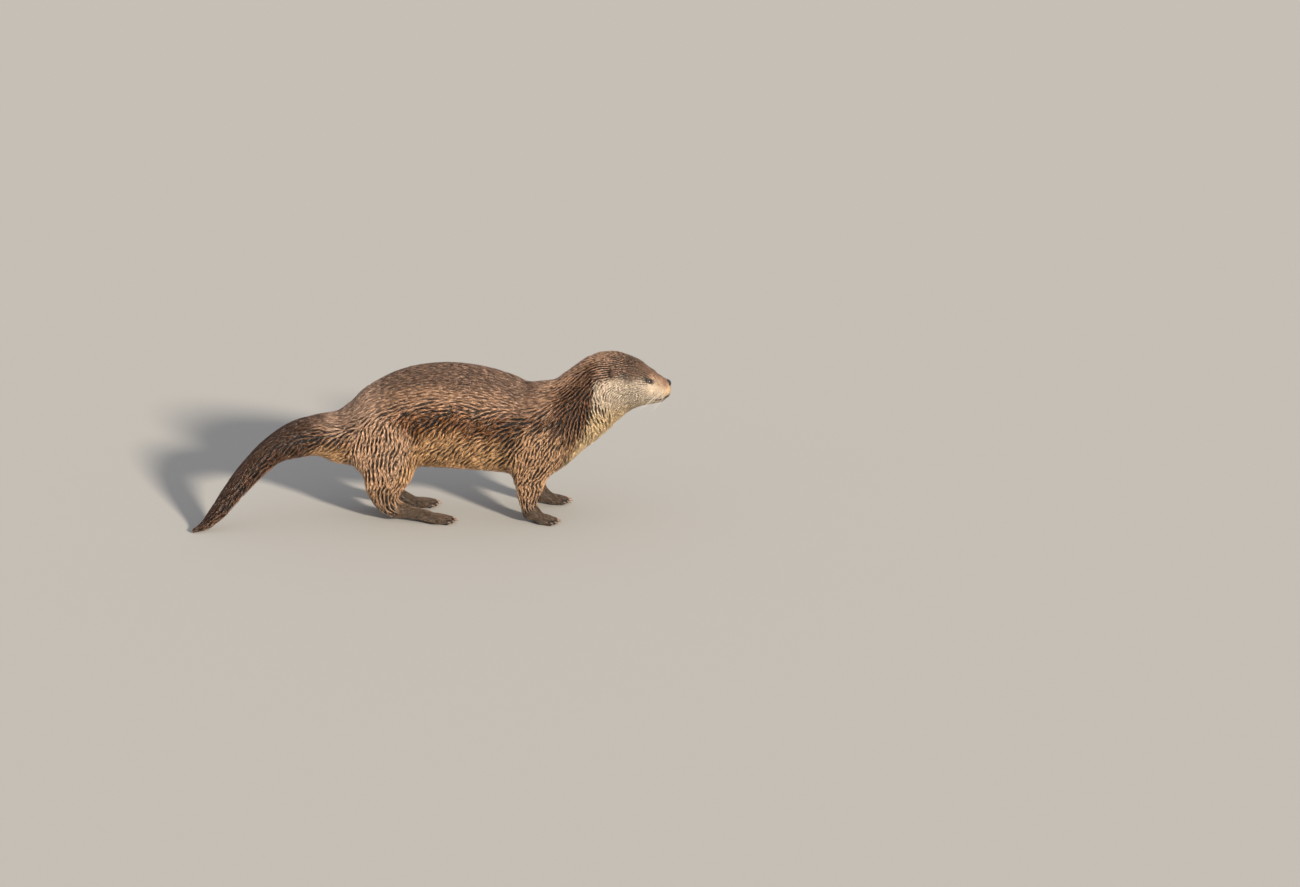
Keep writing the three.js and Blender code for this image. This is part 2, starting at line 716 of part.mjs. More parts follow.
for (const [name, side] of SIDES) {
  const [x, y, z] = EAR.at;
  const cut = sidesOf([x, (y + 5.5) * side, z + 4], new THREE.Vector3(0, 0.8 * side, 0.6), 30);
  pieces[`ear_${name}`] = cut.past("head");
  pieces.head = cut.rest("head");
}

const headCut = sidesOf([357, 0, 268], upFromX(16));
pieces.head = headCut.past("head");
pieces.trunk = headCut.rest("trunk");

const neckCut = sidesOf([283, 0, 205], upFromX(30));
pieces.neck = neckCut.past("trunk");
pieces.trunk = neckCut.rest("trunk");

const tipCut = sidesOf([-390, -68, 92], upFromX(46));
pieces.tail_tip = tipCut.rest("tail");
pieces.trunk = tipCut.past("trunk");
delete pieces.tail;

const middleCut = sidesOf([-286, -22, 162], upFromX(24));
pieces.tail_middle = middleCut.rest("trunk");
pieces.trunk = middleCut.past("trunk");

const rootCut = sidesOf([-196, 0, 172], upFromX(6));
pieces.tail_root = rootCut.rest("trunk");
pieces.trunk = rootCut.past("trunk");

// A leg is what an arch in the flank holds, with all that hangs below the belly under it.
function legRoom({ x, z, radius, belly, from, to, inside }, side, grow) {
  const arch = new THREE.Shape();
  arch.moveTo(x + radius + grow, -20);
  arch.absarc(x, z, radius + grow, 0, Math.PI, false);
  arch.lineTo(x - radius - grow, -20);
  arch.closePath();
  const wide = 160;
  const flank = new THREE.ExtrudeGeometry(arch, { depth: wide, bevelEnabled: false, curveSegments: 28 })
    .rotateX(Math.PI / 2)
    .translate(0, side > 0 ? inside - grow + wide : grow - inside, 0);
  const across = side > 0 ? [-grow, wide] : [-wide, grow];
  return solidFrom(flank).add(box([from - grow, to + grow], across, [-20, belly + grow]));
}

for (const [leg, room] of Object.entries(LEG_ROOMS))
  for (const [name, side] of SIDES) {
    pieces[`${leg}_${name}`] = largest(pieces.trunk.intersect(legRoom(room, side, 0)));
    pieces.trunk = largest(pieces.trunk.subtract(legRoom(room, side, GAP)));
  }
pieces.torso = pieces.trunk;
delete pieces.trunk;

for (const [name, { leg, at, angle }] of Object.entries(ANKLES)) {
  const cut = sidesOf([at[0], 0, at[1]], upFromX(angle));
  pieces[name] = cut.past(name);
  pieces[leg] = cut.rest(leg);
}

// ---------------------------------------------------------------- finish and assembly

const finish = {
  fur: new THREE.MeshStandardMaterial({ color: 0x5d4230, roughness: 0.62, metalness: 0 }),
  throat: new THREE.MeshStandardMaterial({ color: 0x8a6d50, roughness: 0.68, metalness: 0 }),
  paw: new THREE.MeshStandardMaterial({ color: 0x3a2b24, roughness: 0.5, metalness: 0 }),
  nose: new THREE.MeshStandardMaterial({ color: 0x1d1614, roughness: 0.35, metalness: 0 }),
  eye: new THREE.MeshStandardMaterial({ color: 0x0c0807, roughness: 0.08, metalness: 0 }),
};
const finishOf = (name) => {
  if (name.startsWith("eye")) return finish.eye;
  if (name.startsWith("nose")) return finish.nose;
  if (name.includes("paw")) return finish.paw;
  return name === "neck" ? finish.throat : finish.fur;
};

const model = new THREE.Group();
for (const [name, solid] of Object.entries(pieces)) {
  const { vertProperties, triVerts, numProp } = solid.getMesh();
  const corners = new Float32Array((vertProperties.length / numProp) * 3).map(
    (_, n) => vertProperties[Math.floor(n / 3) * numProp + (n % 3)],
  );
  const geometry = new THREE.BufferGeometry()
    .setAttribute("position", new THREE.BufferAttribute(corners, 3))
    .setIndex(new THREE.BufferAttribute(new Uint32Array(triVerts), 1));
  geometry.computeVertexNormals();
  const mesh = new THREE.Mesh(geometry, finishOf(name));
  mesh.name = name;
  model.add(mesh);
}

// The origin is on the floor, under the middle of the animal's own box.
const extent = new THREE.Box3().setFromObject(model);
const centre = extent.getCenter(new THREE.Vector3());
model.position.set(-centre.x, -centre.y, -extent.min.z);

export default model;
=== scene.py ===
"""River otter, life size and standing still: one skin, its wet coat, eyes, nose, claws and whiskers.

Sizes are in millimetres in the body's own frame: nose towards +X, the animal's left towards +Y and
the floor at z = 0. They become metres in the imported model's frame when a piece is made.
"""

import math
from copy import copy

import bmesh
import bpy
import numpy as np
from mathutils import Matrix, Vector
from mathutils.bvhtree import BVHTree
from mathutils.kdtree import KDTree


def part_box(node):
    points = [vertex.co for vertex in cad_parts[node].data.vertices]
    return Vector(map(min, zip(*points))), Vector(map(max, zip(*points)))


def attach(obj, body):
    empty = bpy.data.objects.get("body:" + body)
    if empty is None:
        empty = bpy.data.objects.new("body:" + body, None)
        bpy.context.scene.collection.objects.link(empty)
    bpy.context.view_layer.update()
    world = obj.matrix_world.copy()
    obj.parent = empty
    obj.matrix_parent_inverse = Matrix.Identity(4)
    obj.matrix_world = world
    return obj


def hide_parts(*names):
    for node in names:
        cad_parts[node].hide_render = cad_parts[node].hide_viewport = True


MM = 0.001
rng = np.random.default_rng(11)

# ---------------------------------------- driving sizes

# The line that the body is built round, from the nose to the tip of the tail.
SPINE = [
    (484, 0, 268), (455, 0, 269), (423, 0, 275), (386, 0, 284), (352, 0, 278), (318, 0, 244), (285, 0, 216),
    (250, 0, 196), (216, 0, 186), (184, 0, 184), (131, 0, 197), (74, 0, 208), (18, 0, 212), (-39, 0, 208),
    (-90, 0, 196), (-138, 0, 176), (-184, 0, 166), (-234, -8, 171), (-281, -19, 164), (-328, -37, 146),
    (-382, -64, 99), (-415, -85, 62), (-441, -104, 32), (-464, -120, 13), (-487, -136, 5),
]
# Each leg from inside the trunk to the ankle, y outwards.
LEGS = {
    "foreleg_right": [
        (236, 36, 204), (216, 44, 152), (201, 51, 112), (198, 55, 76), (195, 57, 46), (201, 59, 22),
    ],
    "foreleg_left": [
        (236, 36, 204), (218, 44, 152), (206, 52, 112), (206, 58, 76), (210, 63, 45), (222, 67, 21),
    ],
    "hindleg_right": [
        (-98, 34, 196), (-99, 40, 140), (-94, 45, 102), (-98, 48, 68), (-92, 50, 40), (-74, 51, 23),
    ],
    "hindleg_left": [
        (-98, 34, 196), (-101, 40, 146), (-108, 45, 101), (-110, 47, 72), (-100, 47, 50), (-80, 46, 37),
    ],
}
# Each paw's side, the ball of its toes, how far outwards it points, its toes' length and how far they fan.
PAWS = {
    "forepaw_right": {"side": -1, "ball": (220, 62), "turn": 16, "reach": 34, "fan": 31},
    "forepaw_left": {"side": 1, "ball": (241, 71), "turn": 4, "reach": 34, "fan": 31},
    "hindpaw_right": {"side": -1, "ball": (-8, 56), "turn": 7, "reach": 50, "fan": 24},
    "hindpaw_left": {"side": 1, "ball": (-44, 50), "turn": 6, "reach": 50, "fan": 24},
}
TOES = 5
TOE_HIGH = 5.4  # how high the middle of a toe's end lies
CLAW = {"length": 12, "radius": 2.1, "tip": 0.12, "droop": 22}

# An eye's place, and how far its lids' slit opens along it and across it. The slit falls towards the nose.
EYE = {"at": (443, 27, 291), "radius": 6.2, "gaze": (0.5, 0.8, 0.28), "open": (4.9, 3.5), "lid": 0.7}
SLIT_FALL = 0.32
SLIT_SUNK = 1.6  # how far behind the eyeball's surface the skin ends, in the slit
LID_RIM = {"out": 0.35, "radius": 0.75, "steps": 41}
# x, z of the lip line, from ahead of the muzzle to the mouth's corner, and the groove from the nose to it
MOUTH = [(500, 262), (484, 259), (477, 255), (468, 251), (458, 249.5), (448, 251.5), (440, 256)]
PHILTRUM = {"behind": 478, "low": 260, "high": 273, "half": 0.9, "deep": 0.9}
LIP_FOLD = {"deep": 1.7, "half": 2.4}
WHISKER_PAD = {"at": (467, 266), "half": (11, 7), "rows": 4, "in_row": 5}
WHISKER = {"shortest": 26, "longest": 44, "root": 0.24, "tip": 0.05}

VOXEL = 1.6  # spacing of the skin's points
NOSE_VOXEL = 0.5
SWELL = 0.45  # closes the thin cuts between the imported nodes
SKIN_CLEAR = 0.2  # how high the skin stays over the floor
FUR_CLEAR = 0.4  # and its fur and claws

# How the coat grows on each part: a tuft's length and half width, how far its tip stands over the skin,
# the width and length of a wet lock, how strongly its tufts gather, from 0 to 1, and the times by which
# their tips are lighter, partly the fur's own paler tips and partly painted highlight.
COAT = {
    "head": (9, 0.33, 1.8, 4.4, 14, 0.78, 1.3),
    "ear": (4.5, 0.30, 0.8, 2.4, 8, 0.25, 1.2),
    "neck": (16, 0.47, 4.8, 7.0, 20, 0.99, 4.6),
    "torso": (26, 0.50, 5.4, 8.4, 40, 0.98, 3.2),
    "tail": (23, 0.50, 4.6, 8.2, 36, 0.97, 2.8),
    "foreleg": (16, 0.47, 4.0, 7.0, 27, 0.97, 3.2),
    "hindleg": (20, 0.50, 4.4, 7.8, 32, 0.97, 3.0),
    "paw": (5.5, 0.33, 1.0, 3.2, 10, 0.6, 1.4),
}
LENGTH, HALF, DEPTH, LOCK_WIDE, LOCK_LONG, GATHER, TIP = range(7)
PARTS = list(COAT)
TUFTS = 188000

# Degrees by which the coat falls from the spine's line on the flank, as (x, degrees) along the body.
FALL = [
    (-440, 6), (-330, 14), (-240, 22), (-190, 40), (-140, 60), (-90, 66), (-40, 58), (10, 52), (70, 50),
    (130, 50), (190, 58), (260, 54), (340, 50), (400, 46), (480, 16),
]
# The back edge of the cream, as (z, x) up the chest and neck, and the brown cap's low edge, as (x, z).
CREAM_EDGE = [(118, 268), (146, 280), (174, 300), (208, 315), (242, 328), (285, 334), (322, 352)]
CAP_EDGE = [(350, 299), (372, 303), (398, 301), (425, 297), (443, 294), (460, 285), (474, 278)]
# How many times values are averaged with their neighbours': the remeshed surfaces, the parts' shares of
# each place, the way the coat lies, and the phases across and along the locks.
ROUNDS = {"skin": 6, "nose": 10, "shares": 70, "lie": 90, "across": 320, "onward": 160}

# sRGB colours of the coat, the bare parts and the floor
BROWN_BACK = (112, 88, 71)
# painted sheen: the lighter band of the flank just under the back
SHEEN_PAINTED_BROWN = (166, 130, 102)
BROWN_FLANK = (98, 63, 33)
BROWN_BELLY = (255, 204, 148)
# painted sheen on the top of the rump
RUMP_PAINTED_SHEEN = (190, 158, 134)
BROWN_LEG = (194, 154, 117)
# painted sheen on the haunch
HAUNCH_PAINTED_SHEEN = (214, 174, 140)
BROWN_NECK = (74, 49, 30)
BROWN_CAP = (164, 131, 106)
BROWN_TAIL = (62, 41, 27)
BROWN_EAR = (104, 76, 56)
RUST = (84, 57, 38)
CREAM = (242, 222, 196)
BUFF = (255, 224, 174)
MUZZLE = (192, 168, 138)
PAW_BROWN = (106, 86, 68)
TOE_PALE = (150, 122, 104)
LIP_DARK = (42, 30, 26)
EYE_DARK = (26, 16, 11)
NOSE_DARK = (34, 26, 25)
HORN = (126, 104, 86)
WHISKER_PALE = (214, 204, 188)
FLOOR_GREY = (176, 174, 168)

CAMERA = {"aim": (444.9, 0, 150.1), "rise": 17, "metres_off": 20.0, "metres_wide": 2.665, "sensor": 36}
SUN = {"strength": 6.6, "wide": 6, "colour": (1.0, 0.89, 0.76), "from": (0.55, -0.80, 0.36)}
SKY = {"strength": 0.58, "colour": (0.90, 0.92, 1.0)}

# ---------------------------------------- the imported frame

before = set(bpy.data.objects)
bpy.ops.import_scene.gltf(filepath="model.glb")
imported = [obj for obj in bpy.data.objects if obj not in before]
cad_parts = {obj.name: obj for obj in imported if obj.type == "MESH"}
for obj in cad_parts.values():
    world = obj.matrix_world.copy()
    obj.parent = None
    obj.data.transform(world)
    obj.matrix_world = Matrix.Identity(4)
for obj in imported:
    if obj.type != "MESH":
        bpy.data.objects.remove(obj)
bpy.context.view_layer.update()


def middle_of(node):
    """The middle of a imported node's box, in metres."""
    low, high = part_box(node)
    return (np.array(low) + np.array(high)) / 2


# Where the body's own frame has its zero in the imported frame, found from the two eyes.
BETWEEN_EYES = np.array([EYE["at"][0], 0, EYE["at"][2]])
ORIGIN = (middle_of("eye_right") + middle_of("eye_left")) / 2 - BETWEEN_EYES * MM
FLESH = sorted(set(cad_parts) - {"eye_right", "eye_left", "nose_pad"})


def to_frame(points):
    return np.asarray(points) * MM + ORIGIN


def to_body(points):
    return (np.asarray(points) - ORIGIN) / MM


# ---------------------------------------- number tools


def unit(vectors):
    return vectors / np.maximum(np.linalg.norm(vectors, axis=-1, keepdims=True), 1e-9)


def ramp(low, high, values):
    """0 below low, 1 above high and smooth between. low may be the larger."""
    share = np.clip((values - low) / (high - low), 0, 1)
    return share * share * (3 - 2 * share)


def mix(a, b, share):
    return a + (b - a) * share


def linear(colour):
    """An sRGB colour of 0 to 255 as linear light."""
    share = np.array(colour) / 255
    return np.where(share <= 0.04045, share / 12.92, ((share + 0.055) / 1.055) ** 2.4)


def drift(points, size, seed):
    """A smooth random value of about -1 to 1 that changes over about size millimetres: a sum of waves."""
    draw = np.random.default_rng(seed)
    waves = 6
    total = np.zeros(len(points))
    for _ in range(waves):
        way = unit(draw.normal(size=3)) / size * draw.uniform(0.7, 1.4)
        total += np.sin(points @ way * 2 * math.pi + draw.uniform(0, 2 * math.pi))
    return total / (waves / 2)


def on_line(points, line):
    """For each point the nearest place on a line: how far along, the place, and the way the line runs."""
    line = np.asarray(line, float)
    nearest = np.full(len(points), np.inf)
    along = np.zeros(len(points))
    place = np.zeros((len(points), 3))
    way = np.zeros((len(points), 3))
    before = 0.0
    for start, end in zip(line[:-1], line[1:]):
        step = end - start
        length = np.linalg.norm(step)
        share = np.clip((points - start) @ step / length**2, 0, 1)
        spot = start + share[:, None] * step
        gap = np.linalg.norm(points - spot, axis=1)
        near = gap < nearest
        nearest[near] = gap[near]
        along[near] = before + share[near] * length
        place[near] = spot[near]
        way[near] = step / length
        before += length
    return along, place, way


class Web:
    """The skin's points and the edges that join them."""

    def __init__(self, count, edges):
        ends = np.concatenate([edges, edges[:, ::-1]])
        ends = ends[np.argsort(ends[:, 0], kind="stable")]
        self.first = np.searchsorted(ends[:, 0], np.arange(count + 1))
        self.to = ends[:, 1]

    def mean(self, values):
        """The mean over each point's neighbours."""
        sums = np.add.reduceat(values[self.to], self.first[:-1], axis=0)
        return sums / np.diff(self.first)[:, None]

    def spread(self, values, rounds):
        """Values blended with their neighbours' again and again."""
        for _ in range(rounds):
            values = mix(values, self.mean(values), 0.6)
        return values

    def stripes(self, points, pace, rounds):
        """Phases, as complex numbers, that turn once wherever pace adds up to 1 along the skin."""
        source = np.repeat(np.arange(len(points)), np.diff(self.first))
        steps = points[self.to] - points[source]
        turns = np.sum(steps * (pace[self.to] + pace[source]), axis=1) / 2
        carry = np.exp(-2j * math.pi * turns)
        phase = np.exp(2j * math.pi * rng.random(len(points)))
        for _ in range(rounds):
            phase = np.add.reduceat(phase[self.to] * carry, self.first[:-1])
            phase /= np.maximum(np.abs(phase), 1e-9)
        return phase

    def reached_from(self, start):
        """Which points the edges reach from one of them."""
        seen = np.zeros(len(self.first) - 1, bool)
        seen[start] = True
        waiting = [start]
        while waiting:
            here = waiting.pop()
            for there in self.to[self.first[here] : self.first[here + 1]]:
                if not seen[there]:
                    seen[there] = True
                    waiting.append(there)
        return seen


def normals_of(points, quads):
    """The way each point faces: the mean of its quads, by their area."""
    corners = [points[quads[:, i]] for i in range(4)]
    across = np.cross(corners[2] - corners[0], corners[3] - corners[1])
    total = np.zeros_like(points)
    for i in range(4):
        for axis in range(3):
            total[:, axis] += np.bincount(quads[:, i], across[:, axis], len(points))
    return unit(total)


# ---------------------------------------- meshes


def mesh_from(name, points, faces, colours=None, bake=None):
    """An object of points in body millimetres and faces of equal corner counts, with colours and a map."""
    faces = np.asarray(faces)
    corners = faces.shape[1]
    mesh = bpy.data.meshes.new(name)
    mesh.vertices.add(len(points))
    mesh.vertices.foreach_set("co", to_frame(points).astype(np.float32).ravel())
    mesh.loops.add(faces.size)
    mesh.loops.foreach_set("vertex_index", faces.astype(np.int32).ravel())
    mesh.polygons.add(len(faces))
    mesh.polygons.foreach_set("loop_start", np.arange(0, faces.size, corners, dtype=np.int32))
    mesh.polygons.foreach_set("use_smooth", np.ones(len(faces), bool))
    if bake is not None:
        uv = mesh.uv_layers.new(name="OFBake")
        uv.data.foreach_set("uv", bake[faces.ravel()].astype(np.float32).ravel())
    if colours is not None:
        shade = mesh.color_attributes.new("Fur", "FLOAT_COLOR", "POINT")
        rgba = np.ones((len(points), 4), np.float32)
        rgba[:, :3] = colours
        shade.data.foreach_set("color", rgba.ravel())
    mesh.update(calc_edges=True)
    mesh.validate()
    piece = bpy.data.objects.new(name, mesh)
    bpy.context.scene.collection.objects.link(piece)
    return piece


def swollen(nodes, swell):
    """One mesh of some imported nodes, each grown outwards by swell millimetres."""
    joined = bmesh.new()
    for node in nodes:
        part = bmesh.new()
        part.from_mesh(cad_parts[node].data)
        bmesh.ops.remove_doubles(part, verts=part.verts, dist=1e-6)
        part.normal_update()
        for vertex in part.verts:
            vertex.co += vertex.normal * swell * MM
        grown = bpy.data.meshes.new("grown")
        part.to_mesh(grown)
        joined.from_mesh(grown)
        bpy.data.meshes.remove(grown)
        part.free()
    mesh = bpy.data.meshes.new("joined")
    joined.to_mesh(mesh)
    joined.free()
    return mesh


def read(items, name, width, kind):
    """One value of each of a mesh's items, as the rows of an array."""
    values = np.zeros(len(items) * width, kind)
    items.foreach_get(name, values)
    return values.reshape(-1, width)


def remeshed(nodes, voxel, swell):
    """Points in body millimetres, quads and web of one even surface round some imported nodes."""
    mesh = swollen(nodes, swell)
    carrier = bpy.data.objects.new("carrier", mesh)
    bpy.context.scene.collection.objects.link(carrier)
    remesh = carrier.modifiers.new("even", "REMESH")
    remesh.mode = "VOXEL"
    remesh.voxel_size = voxel * MM
    even = carrier.evaluated_get(bpy.context.evaluated_depsgraph_get()).to_mesh()
    points = to_body(read(even.vertices, "co", 3, np.float32).astype(float))
    quads = read(even.polygons, "vertices", 4, np.int32)
    edges = read(even.edges, "vertices", 2, np.int32)
    bpy.data.objects.remove(carrier)
    bpy.data.meshes.remove(mesh)
    return outer(points, quads, edges)


def outer(points, quads, edges):
    """Only the surface that the point furthest forward lies on."""
    web = Web(len(points), edges)
    kept = web.reached_from(int(np.argmax(points[:, 0])))
    renumbered = np.cumsum(kept) - 1
    quads = renumbered[quads[kept[quads[:, 0]]]]
    edges = renumbered[edges[kept[edges[:, 0]]]]
    return points[kept], quads, Web(int(kept.sum()), edges)


def smoothed(points, web, rounds):
    """Takes the steps out of a surface: each round draws it in, then swells it back."""
    for _ in range(rounds):
        points = mix(points, web.mean(points), 0.5)
        points = mix(points, web.mean(points), -0.52)
    return points


# ---------------------------------------- the skin and what grows where


def part_of(node):
    """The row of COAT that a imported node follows."""
    for part in ("foreleg", "hindleg", "tail", "ear", "head", "neck", "torso"):
        if node.startswith(part):
            return part
    return "paw"


def nodes_under(points):
    """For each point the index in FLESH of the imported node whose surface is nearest."""
    corners, faces, owner = [], [], []
    for index, node in enumerate(FLESH):
        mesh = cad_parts[node].data
        base = len(corners)
        corners.extend(vertex.co.copy() for vertex in mesh.vertices)
        faces.extend([base + i for i in polygon.vertices] for polygon in mesh.polygons)
        owner.extend([index] * len(mesh.polygons))
    tree = BVHTree.FromPolygons(corners, faces)
    found = [tree.find_nearest(Vector(point))[2] for point in to_frame(points)]
    return np.array(owner)[found]


def gaze_frame(side):
    """An eye's place, where it looks, the way its lids' slit runs, and up across the slit."""
    x, y, z = EYE["at"]
    at = np.array([x, y * side, z], float)
    gaze = unit(np.array([EYE["gaze"][0], EYE["gaze"][1] * side, EYE["gaze"][2]]))
    along = np.array([1, 0, -SLIT_FALL])
    along = unit(along - gaze * (along @ gaze))
    up = np.cross(along, gaze)
    up = up * np.sign(up[2])
    return at, gaze, along, up


def almond(angle):
    """The lids' opening as (along, up) at an angle round it."""
    wide, tall = EYE["open"]
    return wide * np.cos(angle), tall * np.sin(angle) * np.abs(np.sin(angle)) ** 0.35


def from_slit(points, side):
    """Each point's place from one eye, and how far out from the lids' opening it lies, 1 at its edge."""
    at, gaze, along, up = gaze_frame(side)
    wide, tall = EYE["open"]
    way = points - at
    far = np.linalg.norm(way, axis=1)
    ray = way / far[:, None]
    near = (far < 17) & (ray @ gaze > 0.1)
    across = np.hypot(ray @ along * EYE["radius"] / wide, ray @ up * EYE["radius"] / tall)
    return at, ray, far, near, np.where(near, across, 9)


def round_slit(points):
    """How far out from the opening of the nearer eye each point lies, and 9 or more away from both."""
    rings = []
    for side in (-1, 1):
        _, _, far, _, across = from_slit(points, side)
        rings.append(across + 0.6 * np.maximum(far - EYE["radius"] - SLIT_SUNK, 0))
    return np.minimum(*rings)


def with_lids(points):
    """Draws the skin over each eyeball as lids and opens it along the slit."""
    points = points.copy()
    for side in (-1, 1):
        at, ray, far, near, across = from_slit(points, side)
        lid = ramp(2.6, 1.25, across)
        outside = EYE["radius"] + EYE["lid"]
        target = mix(np.maximum(far, outside), outside, lid)
        target = np.where(across < 1.0, EYE["radius"] - SLIT_SUNK, target)
        points[near] = at + ray[near] * target[near, None]
    return points


class Skin:
    """The one skin under the coat, with what grows at each of its points."""

    def __init__(self):
        points, quads, web = remeshed(FLESH, VOXEL, SWELL)
        points = smoothed(points, web, ROUNDS["skin"])
        self.owner = nodes_under(points)
        sort = np.array([PARTS.index(part_of(node)) for node in FLESH])
        # how much of each part in COAT there is at each point
        self.share = web.spread(np.eye(len(PARTS))[sort[self.owner]], ROUNDS["shares"])
        _, place, way = on_line(points, SPINE)
        outwards = points - place
        outwards = unit(outwards - way * np.sum(outwards * way, axis=1, keepdims=True))
        rise = unit(np.array([0, 0, 1]) - way * way[:, 2:3])
        # how far round from the middle of the back a point is, 0 to 180 degrees
        self.round = np.degrees(np.arccos(np.clip(np.sum(outwards * rise, axis=1), -1, 1)))
        self.growth = self.share @ np.array([COAT[part] for part in PARTS])
        self.vary_growth(points)
        self.lie = self.lie_of(points, normals_of(points, quads), web, way)
        fold = LIP_FOLD["deep"] * ramp(LIP_FOLD["half"], 0.4, from_lips(points)) * self.weight("head")
        fold = np.maximum(fold, PHILTRUM["deep"] * ramp(2.2, 0.6, from_philtrum(points)))
        depth = self.growth[:, DEPTH] + fold
        self.points = with_lids(points - normals_of(points, quads) * depth[:, None])
        self.points[:, 2] = np.maximum(self.points[:, 2], SKIN_CLEAR)
        self.quads = quads
        self.normals = normals_of(self.points, quads)
        self.lie = unit(self.lie - self.normals * np.sum(self.lie * self.normals, axis=1, keepdims=True))
        self.colour = markings(self.points, self.share, self.round)
        # where in its lock each point lies, as a phase across it and one along it
        aside = np.cross(self.normals, self.lie) / self.growth[:, LOCK_WIDE, None]
        ahead = self.lie / self.growth[:, LOCK_LONG, None]
        self.across = web.stripes(self.points, aside, ROUNDS["across"])
        self.onward = web.stripes(self.points, ahead, ROUNDS["onward"])

    def weight(self, *parts):
        """How much of the named parts of the body there is at each point, from 0 to 1."""
        return sum(self.share[:, PARTS.index(part)] for part in parts)

    def change(self, where, shares):
        """Changes columns of the growth by a share of themselves, as far as where says, from 0 to 1."""
        for column, share in shares.items():
            self.growth[:, column] *= 1 + share * where

    def vary_growth(self, points):
        """The back is sleek, the face and shins short, and the cheeks and the tail's underside shaggy."""
        x, _, z = points.T
        head = self.weight("head")
        sleek = (self.weight("torso", "tail") + 0.35 * self.weight("neck")) * ramp(75, 35, self.round)
        muzzle = head * ramp(415, 470, x)
        cheek = head * ramp(300, 275, z) * ramp(430, 395, x)
        fringe = self.weight("tail") * ramp(95, 150, self.round)
        tail_end = ramp(-440, -486, x)
        shin = self.weight("foreleg", "hindleg") * ramp(85, 45, z)
        eye = head * ramp(18, 8, np.linalg.norm(np.abs(points) - EYE["at"], axis=1))
        self.change(sleek, {LENGTH: 0.2, DEPTH: -0.35, GATHER: -0.56, TIP: -0.25})
        self.change(sleek, {LOCK_LONG: 2.2, LOCK_WIDE: -0.3})
        self.change(muzzle, {LENGTH: -0.62, HALF: -0.35, DEPTH: -0.55, GATHER: -0.75})
        self.change(cheek, {LENGTH: 0.7, DEPTH: 0.7})
        self.growth[:, GATHER] = mix(self.growth[:, GATHER], 0.95, 0.8 * cheek)
        self.change(fringe, {LENGTH: 0.25})
        self.change(tail_end, {LENGTH: -0.65, DEPTH: -0.6})
        self.change(shin, {LENGTH: -0.4, DEPTH: -0.45})
        self.change(eye, {LENGTH: -0.7, DEPTH: -0.8, GATHER: -0.8})

    def lie_of(self, points, normals, web, way):
        """The way the coat lies: back along the body, down its flanks and legs, and out to the toes."""
        fall = np.interp(points[:, 0], *zip(*FALL))
        fall = np.radians(fall * ramp(40, 112, self.round) * ramp(180, 140, self.round) ** 0.5)
        down = np.array([0, 0, -1]) - normals * -normals[:, 2:3]
        down = down - way * np.sum(down * way, axis=1, keepdims=True)
        lie = way * np.cos(fall)[:, None] + unit(down) * np.sin(fall)[:, None]
        for index, node in enumerate(FLESH):
            here = self.owner == index
            side = -1 if node.endswith("right") else 1
            if node in LEGS:
                line = np.array(LEGS[node]) * (1, side, 1)
                lie[here] = on_line(points[here], line)[2] + (-0.22, 0, 0)
            elif node in PAWS:
                turn = math.radians(PAWS[node]["turn"]) * side
                lie[here] = (math.cos(turn), math.sin(turn), -0.3)
            elif node.startswith("ear"):
                lie[here] = (-0.35, 0.3 * side, 0.85)
        lie = unit(lie - normals * np.sum(lie * normals, axis=1, keepdims=True))
        lie = unit(web.spread(lie, ROUNDS["lie"]))
        # wet locks waver, least on the sleek back
        waver = 17 * drift(points, 52, 5) + 13 * drift(points, 21, 6)
        sway = np.radians(waver) * self.growth[:, GATHER] ** 2
        return lie * np.cos(sway)[:, None] + np.cross(normals, lie) * np.sin(sway)[:, None]


